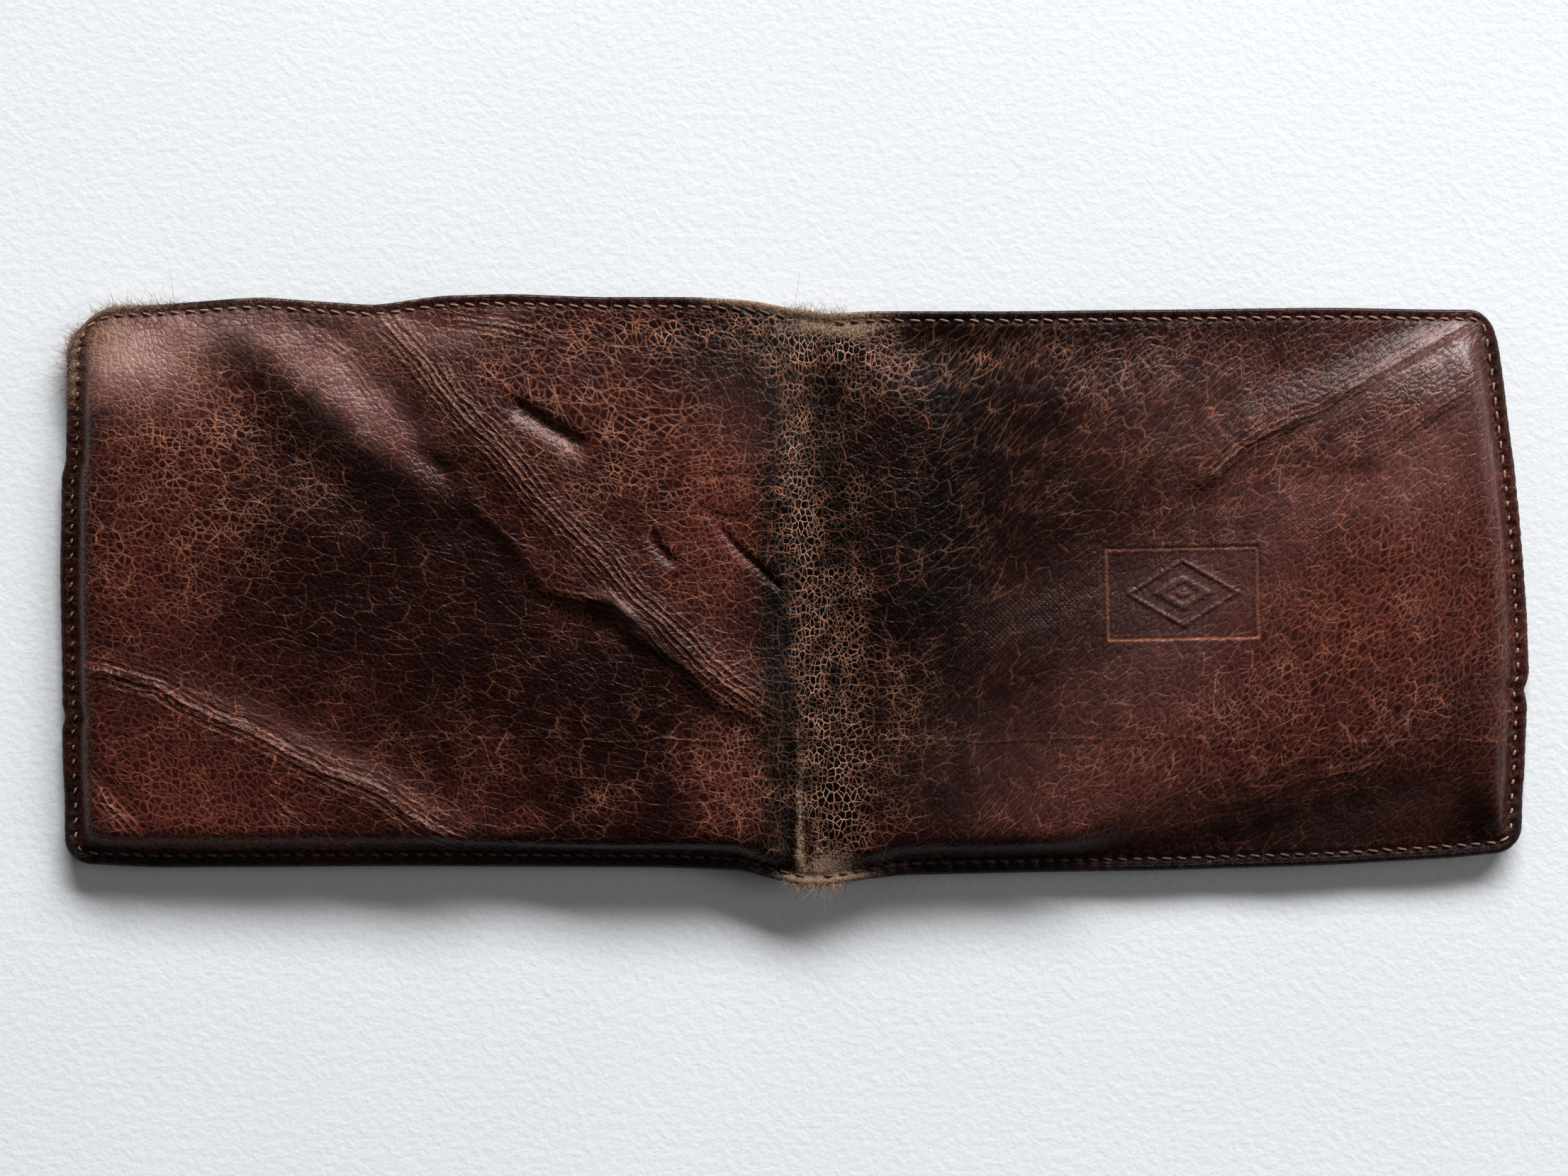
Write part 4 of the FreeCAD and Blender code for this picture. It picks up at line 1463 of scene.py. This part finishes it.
@dataclass
class Stitching:
    """Row of stitches round three edges of a half, on the outside and again inside."""

    name: str
    side: int
    pitch: float = SEAM_PITCH
    length: float = 1.75
    radius: float = 0.20
    inset: float = SEAM_INSET
    bend: float = 1.6
    step: float = 0.05
    sunk: float = 0.36
    sides: int = 7
    rings: int = 7

    def row(self) -> tuple[Grid, Grid]:
        """Flat coordinates of a fine line that runs from the spine along the bottom and back."""
        edge, height = FORM.half_length - self.inset, FORM.half_height - self.inset
        step, bend = self.step, self.bend
        start = FORM.seam * self.side
        bottom = np.arange(start + self.pitch / 4, edge - bend, step)
        turn = np.arange(0, np.pi / 2, step / bend)
        climb = np.arange(-height + bend, height - bend, step)
        u = [bottom, edge - bend + bend * np.sin(turn), np.full(climb.shape, edge)]
        v = [np.full(bottom.shape, -height), -height + bend - bend * np.cos(turn), climb]
        u += [edge - bend + bend * np.cos(turn), bottom[::-1]]
        v += [height - bend + bend * np.sin(turn), np.full(bottom.shape, height)]
        return np.concatenate(u) * self.side, np.concatenate(v)

    def thread(self, line: Grid, normals: Grid, seed: int) -> tuple[Grid, Grid, Grid]:
        """Stitches along a line.

        Args:
            line: points of the line, closely spaced.
            normals: unit vectors away from the leather, one for each point.
            seed: which small differences between stitches.

        Returns:
            Points and faces of all stitches, and each point's place along its stitch. Each stitch
            is a round bar that thins and dips at both ends.
        """
        steps = np.linalg.norm(np.diff(line, axis=0), axis=1)
        along = np.concatenate([[0], np.cumsum(steps)])
        count = int((along[-1] - self.pitch) / self.pitch)
        draw = np.random.default_rng(seed)
        middle = (np.arange(count) + 0.75) * self.pitch + draw.normal(0, 0.05, count)
        half = self.length / 2 * draw.uniform(0.9, 1.06, count)
        far = np.abs(np.interp(middle, along, line[:, 0]))
        half = half * np.where(far > FORM.half_length - 4, 0.62, 1.0)
        share = np.linspace(-1, 1, self.rings)
        at = middle[:, None] + half[:, None] * share[None]
        centre = np.stack([np.interp(at, along, line[:, axis]) for axis in range(3)], axis=-1)
        normal = np.stack([np.interp(at, along, normals[:, axis]) for axis in range(3)], axis=-1)
        tangent = np.gradient(centre, axis=1)
        tangent /= np.linalg.norm(tangent, axis=-1, keepdims=True)
        beside = np.cross(tangent, normal)
        skew = draw.uniform(0.05, 0.22, count)[:, None, None] * share[None, :, None]
        thick = self.radius * np.sqrt(np.clip(1.02 - share**4, 0.02, 1))
        lift = 0.24 - 0.34 * share**4
        centre = centre + normal * lift[None, :, None] + beside * skew
        angle = np.linspace(0, 2 * np.pi, self.sides, endpoint=False)
        ring = normal[:, :, None] * np.cos(angle)[None, None, :, None]
        ring = ring + beside[:, :, None] * np.sin(angle)[None, None, :, None]
        points = centre[:, :, None] + ring * thick[None, :, None, None]
        index = np.arange(count * self.rings * self.sides).reshape(count, self.rings, self.sides)
        around = np.roll(index, -1, axis=2)
        corners = [index[:, :-1], index[:, 1:], around[:, 1:], around[:, :-1]]
        faces = np.stack(corners, axis=-1).reshape(-1, 4)
        lay = np.broadcast_to(share[None, :, None] / 2 + 0.5, index.shape)
        lay = lay + angle[None, None, :] / (2 * np.pi) * 0.14
        return points.reshape(-1, 3), faces, lay.ravel()

    def build(self, material: bpy.types.Material) -> bpy.types.Object:
        """Makes the row on the outside and the one under it on the inside."""
        u, v = self.row()
        x, y = FORM.plan(u, v)
        upper = np.stack([x, y, FORM.slump(u, v) - self.sunk], axis=1)
        lift = np.maximum(upper[:, 2] + self.sunk - 2 * FORM.roll(u, v), 0.06)
        lower = np.stack([x, y, lift + 0.12], axis=1)
        up = np.tile([0.0, 0.0, 1.0], (len(x), 1))
        points, faces, lay = self.thread(upper, up, 41)
        below, below_faces, below_lay = self.thread(lower, -up, 43)
        below[:, 2] = np.maximum(below[:, 2], 0.01)
        place = np.concatenate([points, below])
        piece = make_piece(self.name, place, np.concatenate([faces, below_faces + len(points)]))
        # Darker along the bottom edge and near the spine, paler at the outer ends.
        thread_darkening = 0.22 + 0.75 * smoothstep(-place[:, 1], 38, 42) + 0.3 * FORM.spine_share(place[:, 0], 20)
        thread_darkening = thread_darkening + 0.25 * smoothstep(-np.abs(place[:, 0]), -30, 0) - 0.3 * (np.abs(place[:, 0]) > 108)
        place_along = np.concatenate([lay, below_lay])
        zero = np.zeros_like(thread_darkening)
        store_colour(piece, "thread", (place_along, zero, zero, thread_darkening))
        dress(piece, material)
        return piece


# ---------------------------------------------------------------- layers inside


@dataclass
class Layer:
    """Thin layer inside one half, pressed with the rest of the stack."""

    name: str
    side: int
    nodes: tuple[str, ...]
    inner: float
    outer: float
    low: float
    high: float
    thickness: float
    slot: Slot
    spacing: float = 1.4

    def height(self, u: Grid, v: Grid) -> Grid:
        """Underside of the layer in the unpressed stack."""
        raise NotImplementedError

    def grid(self) -> tuple[Grid, Grid]:
        """Flat coordinates, with extra lines close to the layer's edges."""
        ease = np.array([0.0, 0.25, 0.6])
        across = np.arange(self.inner + 1.2, self.outer - 1.0, self.spacing)
        across = np.concatenate([self.inner + ease, across, self.outer - ease[::-1]]) * self.side
        up = np.arange(self.low + 1.2, self.high - 1.0, self.spacing)
        up = np.concatenate([self.low + ease, up, self.high - ease[::-1]])
        return np.meshgrid(np.sort(across), up)

    def build(self, material: bpy.types.Material) -> bpy.types.Object:
        """Makes the closed sheet, thinner towards its edges."""
        u, v = self.grid()
        x, y = FORM.plan(u, v)
        under = self.height(u, v)
        far_u = np.minimum(np.abs(u) - self.inner, self.outer - np.abs(u))
        if self.inner < 0:
            far_u = np.minimum(u * self.side - self.inner, self.outer - u * self.side)
        edge = np.minimum(far_u, np.minimum(v - self.low, self.high - v))
        round_off = 0.5 - 0.5 * np.sqrt(np.clip(edge / 0.6, 0, 1))
        lower = FORM.level(u, v, under + self.thickness * round_off)
        upper = FORM.level(u, v, under + self.thickness * (1 - round_off * 0.98))
        piece = closed_sheet(
            self.name, np.stack([x, y, upper], axis=-1), np.stack([x, y, lower], axis=-1)
        )
        dress(piece, material)
        return piece


@dataclass
class PocketLayer(Layer):
    """Card slot or slip panel: it comes down one layer past each mouth in front of it."""

    mouths: tuple[float, ...] = ()
    step: float = 0.9

    def height(self, u: Grid, v: Grid) -> Grid:
        """A layer step for each mouth still in front, each coming down over 2.4 mm."""
        steps = (1 - smoothstep(v, mouth + 0.3, mouth + 2.7) for mouth in self.mouths)
        return self.step * sum(steps, 0 * v)


@dataclass
class FlatLayer(Layer):
    """Lining or stiffener: a flat layer, which may rise to another level over the spine."""

    base: float = 5.3
    over_spine: float = 5.3

    def height(self, u: Grid, v: Grid) -> Grid:
        """Level on the panel, going over to the spine's level near the fold."""
        return self.base + (self.over_spine - self.base) * FORM.spine_share(u, 14)


@dataclass
class NoteWall(Layer):
    """Inner wall of the note compartment, sloping away from the lining towards the mouth."""

    base: float = 4.4
    mouth: float = 1.3
    over_spine: float = 4.75

    def height(self, u: Grid, v: Grid) -> Grid:
        """Level over the slots, falling in a straight line to the mouth's level; flat on the spine."""
        fall = np.clip((v - 0.4) / 35.0, 0, 1)
        panel = self.base + (self.mouth - self.base) * fall
        return panel + (self.over_spine - panel) * FORM.spine_share(u, 14)


# ---------------------------------------------------------------- loose fibres


@dataclass
class Fibres:
    """Loose fibres that stand off the worn border of the leather."""

    name: str
    runs: tuple[tuple[Point, Point, int], ...]
    length: float = 0.85
    radius: float = 0.03
    seed: int = 5
    joints: int = 5

    def build(self, material: bpy.types.Material) -> bpy.types.Object:
        """Each fibre is a three-sided bar along a curl: a start, a direction and a bend."""
        draw = np.random.default_rng(self.seed)
        starts = [
            np.array(first) + draw.beta(1.6, 1.6, (count, 1)) * (np.array(last) - np.array(first))
            for first, last, count in self.runs
        ]
        u, v = np.concatenate(starts).T
        count = len(u)
        x, y = FORM.plan(u, v)
        inner_x, inner_y = FORM.plan(u * 0.96, v * 0.9)
        outward = np.stack([x - inner_x, y - inner_y, np.zeros(count)], axis=1)
        outward /= np.linalg.norm(outward, axis=1, keepdims=True)
        radius = FORM.roll(u, v)[:, None]
        turn = draw.uniform(-0.5, 1.4, (count, 1))
        up = np.array([[0.0, 0.0, 1.0]])
        base = np.stack([x, y, FORM.slump(u, v)], axis=1) - up * radius
        base = base + outward * radius * np.cos(turn) + up * radius * np.sin(turn)
        away = outward * np.cos(turn) + up * np.sin(turn) + draw.normal(0, 0.9, (count, 3))
        curl = draw.normal(0, 0.8, (count, 3))
        size = self.length * draw.lognormal(-0.2, 0.5, count)
        share = np.linspace(0, 1, self.joints)
        path = base[:, None] + size[:, None, None] * (
            away[:, None] * share[None, :, None] * 0.7 + curl[:, None] * (share**2)[None, :, None] * 0.6
        )
        angle = np.array([0, 2.094, 4.189])
        thin = self.radius * (1 - 0.5 * share)
        ring = np.stack([np.cos(angle), np.sin(angle), 0.5 * np.sin(angle + 1)], axis=1)
        points = path[:, :, None] + ring[None, None] * thin[None, :, None, None]
        points[..., 2] = np.maximum(points[..., 2], 0.05)
        index = np.arange(count * self.joints * 3).reshape(count, self.joints, 3)
        around = np.roll(index, -1, axis=2)
        corners = [index[:, :-1], around[:, :-1], around[:, 1:], index[:, 1:]]
        faces = np.stack(corners, axis=-1).reshape(-1, 4)
        piece = make_piece(self.name, points.reshape(-1, 3), faces)
        dress(piece, material)
        return piece


CORNER_RUNS = (((-115, 28), (-115, 45), 620), ((-115, 45), (-96, 45), 420))
SPINE_RUNS = (((-2, -45), (8.5, -45), 320), ((-2, 45), (8.5, 45), 200))


# ---------------------------------------------------------------- one half of the wallet


@dataclass
class Half:
    """Everything in one half, from the spine's middle line to the outer edge."""

    side: int
    panel: Body
    fold: float
    blend_reach: float = 4.2
    fold_gap: float = 2.6
    side_inset: float = 0.9
    mouth_inset: float = 1.2
    slot_height: float = 50.0

    @property
    def word(self) -> str:
        """Name of the half."""
        return "left" if self.side < 0 else "right"

    @property
    def mouths(self) -> tuple[float, ...]:
        """Places of the card slots' mouths, from the top one down."""
        boxes = (box_of(f"card_slot_{self.word}_{number}") for number in range(1, SLOT_COUNT + 1))
        return tuple(high[1] for _, high in boxes)

    def bend(self, piece: bpy.types.Object) -> None:
        """Bakes a piece's place into its mesh; the piece is not bent at the fold."""
        outside = (self.fold + self.side * self.blend_reach) * MM
        inside = (self.fold - self.side * self.blend_reach) * MM
        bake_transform(piece)

    def build_cover(self, material: bpy.types.Material) -> None:
        """Cover leather."""
        fine = ((46.0, 73.5), (-9.0, 8.0)) if self.side > 0 else None
        nodes = (f"cover_{self.word}", "cover_spine")
        cover = Cover(f"cover_leather_{self.word}", self.side, fine_reach=fine)
        piece = cover.build(material)
        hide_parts(*nodes)
        f"stiffener_board_{self.word}"
        self.bend(piece)
        LOG.info("%s: %d faces", piece.name, len(piece.data.polygons))

    def build_stitching(self, material: bpy.types.Material) -> None:
        """Edge stitching."""
        piece = Stitching(f"edge_thread_{self.word}", self.side).build(material)
        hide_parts(f"edge_stitching_{self.word}", "spine_stitching")
        self.bend(piece)
        LOG.info("%s: %d faces", piece.name, len(piece.data.polygons))

    def build_crossing(self, layer: Layer, material: bpy.types.Material) -> None:
        """A layer that crosses the fold."""
        piece = layer.build(material)
        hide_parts(*layer.nodes)
        self.bend(piece)
        LOG.info("%s: %d faces", piece.name, len(piece.data.polygons))

    def build_panel_layer(self, layer: Layer, material: bpy.types.Material) -> None:
        """A layer that belongs to the panel alone."""
        piece = layer.build(material)
        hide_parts(*layer.nodes)
        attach(piece, self.panel.value)
        LOG.info("%s: %d faces", piece.name, len(piece.data.polygons))

    def build_inside(self, materials: dict[Slot, bpy.types.Material]) -> None:
        """Lining, note wall, stiffener, slip panel and card slots."""
        word, side, mouths = self.word, self.side, self.mouths
        middle = FORM.seam * side
        near = self.fold * side + self.fold_gap
        edge = FORM.half_length - self.side_inset
        low, high = -FORM.half_height + self.side_inset, FORM.half_height - self.mouth_inset
        cloth, leather = materials[Slot.LINING], materials[Slot.POCKET]
        lining_nodes = (f"bill_lining_{word}", "bill_lining_spine")
        lining = FlatLayer(
            f"lining_{word}", side, lining_nodes, middle, edge, low, high, 0.3, Slot.LINING, over_spine=5.7
        )
        self.build_crossing(lining, cloth)
        wall_nodes = (f"bill_divider_{word}", "bill_divider_spine")
        wall = NoteWall(f"note_wall_{word}", side, wall_nodes, middle, edge, low, high, 0.4, Slot.LINING)
        self.build_crossing(wall, cloth)
        board = FlatLayer(
            f"stiffener_board_{word}", side, (f"stiffener_{word}",), near + 1.5, edge - 2.5,
            low + 2.5, high - 2, 0.35, Slot.BOARD, base=5.62, over_spine=5.62,
        )
        self.build_panel_layer(board, materials[Slot.BOARD])
        slip = PocketLayer(
            f"slip_panel_leather_{word}", side, (f"slip_panel_{word}",), near, edge,
            low, high, 0.5, Slot.POCKET, mouths=mouths,
        )
        self.build_panel_layer(slip, leather)
        for number, mouth in enumerate(mouths, start=1):
            lower = low if number == SLOT_COUNT else mouth - self.slot_height
            pocket = PocketLayer(
                f"card_slot_leather_{word}_{number}", side, (f"card_slot_{word}_{number}",), near, edge,
                lower, mouth, 0.6, Slot.POCKET, mouths=mouths[number:],
            )
            under = f"card_slot_leather_{word}_{number + 1}" if number < SLOT_COUNT else "floor"
            self.build_panel_layer(pocket, leather)


# ---------------------------------------------------------------- floor, light, camera


@dataclass
class Studio:
    """Pale table, soft light from beyond the wallet's mouth, and a camera straight above."""

    view: float = 243.6
    camera_height: float = 360.0
    centre: Point = (-1.7, 0.2)
    sensor: float = 36.0

    def floor(self) -> None:
        """Pale paper with a faint tooth."""
        points = np.array([[-2500, -2500, 0], [2500, -2500, 0], [2500, 2500, 0], [-2500, 2500, 0]], float)
        piece = make_piece("floor", points, np.array([[0, 1, 2, 3]]), False)
        paint = Paint("pale_paper", Specular_IOR_Level=0.2)
        place = paint.place()
        tooth = paint.noise(place, 1.3, 4.0, 0.6)
        cloud = paint.noise(place, 60.0, 2.0, 0.5)
        colour = paint.mix(cloud, (0.86, 0.87, 0.885), (0.80, 0.81, 0.825))
        piece.data.materials.append(paint.finish(colour, 0.9, tooth, 0.10))

    def lamp(self, name: str, place: Sequence[float], size: Point, power: float, colour: Colour) -> None:
        """Area lamp aimed at the wallet, from a place given in millimetres."""
        data = bpy.data.lights.new(name, "AREA")
        data.shape = "RECTANGLE"
        data.size, data.size_y = size[0] * MM, size[1] * MM
        data.energy = power
        data.color = colour
        lamp = bpy.data.objects.new(name, data)
        lamp.location = [value * MM for value in place]
        direction = -np.array(place, float)
        lamp.rotation_euler = self.aim(direction)
        bpy.context.scene.collection.objects.link(lamp)

    @staticmethod
    def aim(direction: Grid) -> Any:
        """Turn that points an object's -Z axis along a direction."""
        return Vector(direction).to_track_quat("-Z", "Y").to_euler()

    def camera(self) -> None:
        """Camera above the wallet whose view is as wide as asked at the table."""
        data = bpy.data.cameras.new("camera")
        data.sensor_width = self.sensor
        data.lens = self.sensor * self.camera_height / self.view
        camera = bpy.data.objects.new("camera", data)
        camera.location = (self.centre[0] * MM, self.centre[1] * MM, (self.camera_height + 4) * MM)
        bpy.context.scene.collection.objects.link(camera)
        bpy.context.scene.camera = camera

    def sky(self) -> None:
        """Surroundings that look pale but light the wallet dimly, so that the leather stays deep."""
        world = bpy.data.worlds.new("room")
        world.use_nodes = True
        nodes, links = world.node_tree.nodes, world.node_tree.links
        nodes["Background"].inputs[0].default_value = (0.93, 0.96, 1.0, 1.0)
        seen = nodes.new("ShaderNodeLightPath").outputs["Is Camera Ray"]
        strength = nodes.new("ShaderNodeMapRange")
        strength.inputs["To Min"].default_value = 0.05
        strength.inputs["To Max"].default_value = 0.80
        links.new(seen, strength.inputs["Value"])
        links.new(strength.outputs[0], nodes["Background"].inputs[1])
        bpy.context.scene.world = world
        view = bpy.context.scene.view_settings
        view.view_transform = "Standard"
        view.gamma = 0.86

    def build(self) -> None:
        """Sets the stage."""
        self.floor()
        self.sky()
        self.lamp("window", (700, 2400, 1200), (2600, 640), 176.0, (0.97, 0.985, 1.0))
        self.lamp("wall_right", (2200, 0, 1200), (1200, 1200), 16.0, (1.0, 0.98, 0.95))
        self.lamp("wall_left", (-2200, 300, 1100), (1200, 1200), 4.0, (1.0, 0.98, 0.95))
        self.camera()


def main() -> None:
    """Builds the wallet half by half, then the stage."""
    logging.basicConfig(level=logging.INFO, format="%(name)s %(message)s")
    Studio().build()
    materials = {
        Slot.COVER: WornLeather().build(),
        Slot.POCKET: PocketLeather().build(),
        Slot.LINING: LiningCloth().build(),
        Slot.BOARD: Board().build(),
        Slot.THREAD: Thread().build(),
    }
    fibre = Fibre().build()
    for half in (Half(-1, Body.LEFT, FORM.left_fold), Half(1, Body.RIGHT, FORM.right_fold)):
        half.build_cover(materials[Slot.COVER])
        half.build_stitching(materials[Slot.THREAD])
        half.build_inside(materials)
    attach(Fibres("corner_fibres", CORNER_RUNS).build(fibre), Body.LEFT.value)
    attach(Fibres("spine_fibres", SPINE_RUNS, seed=9).build(fibre), Body.SPINE.value)


if __name__ == "__main__":
    main()
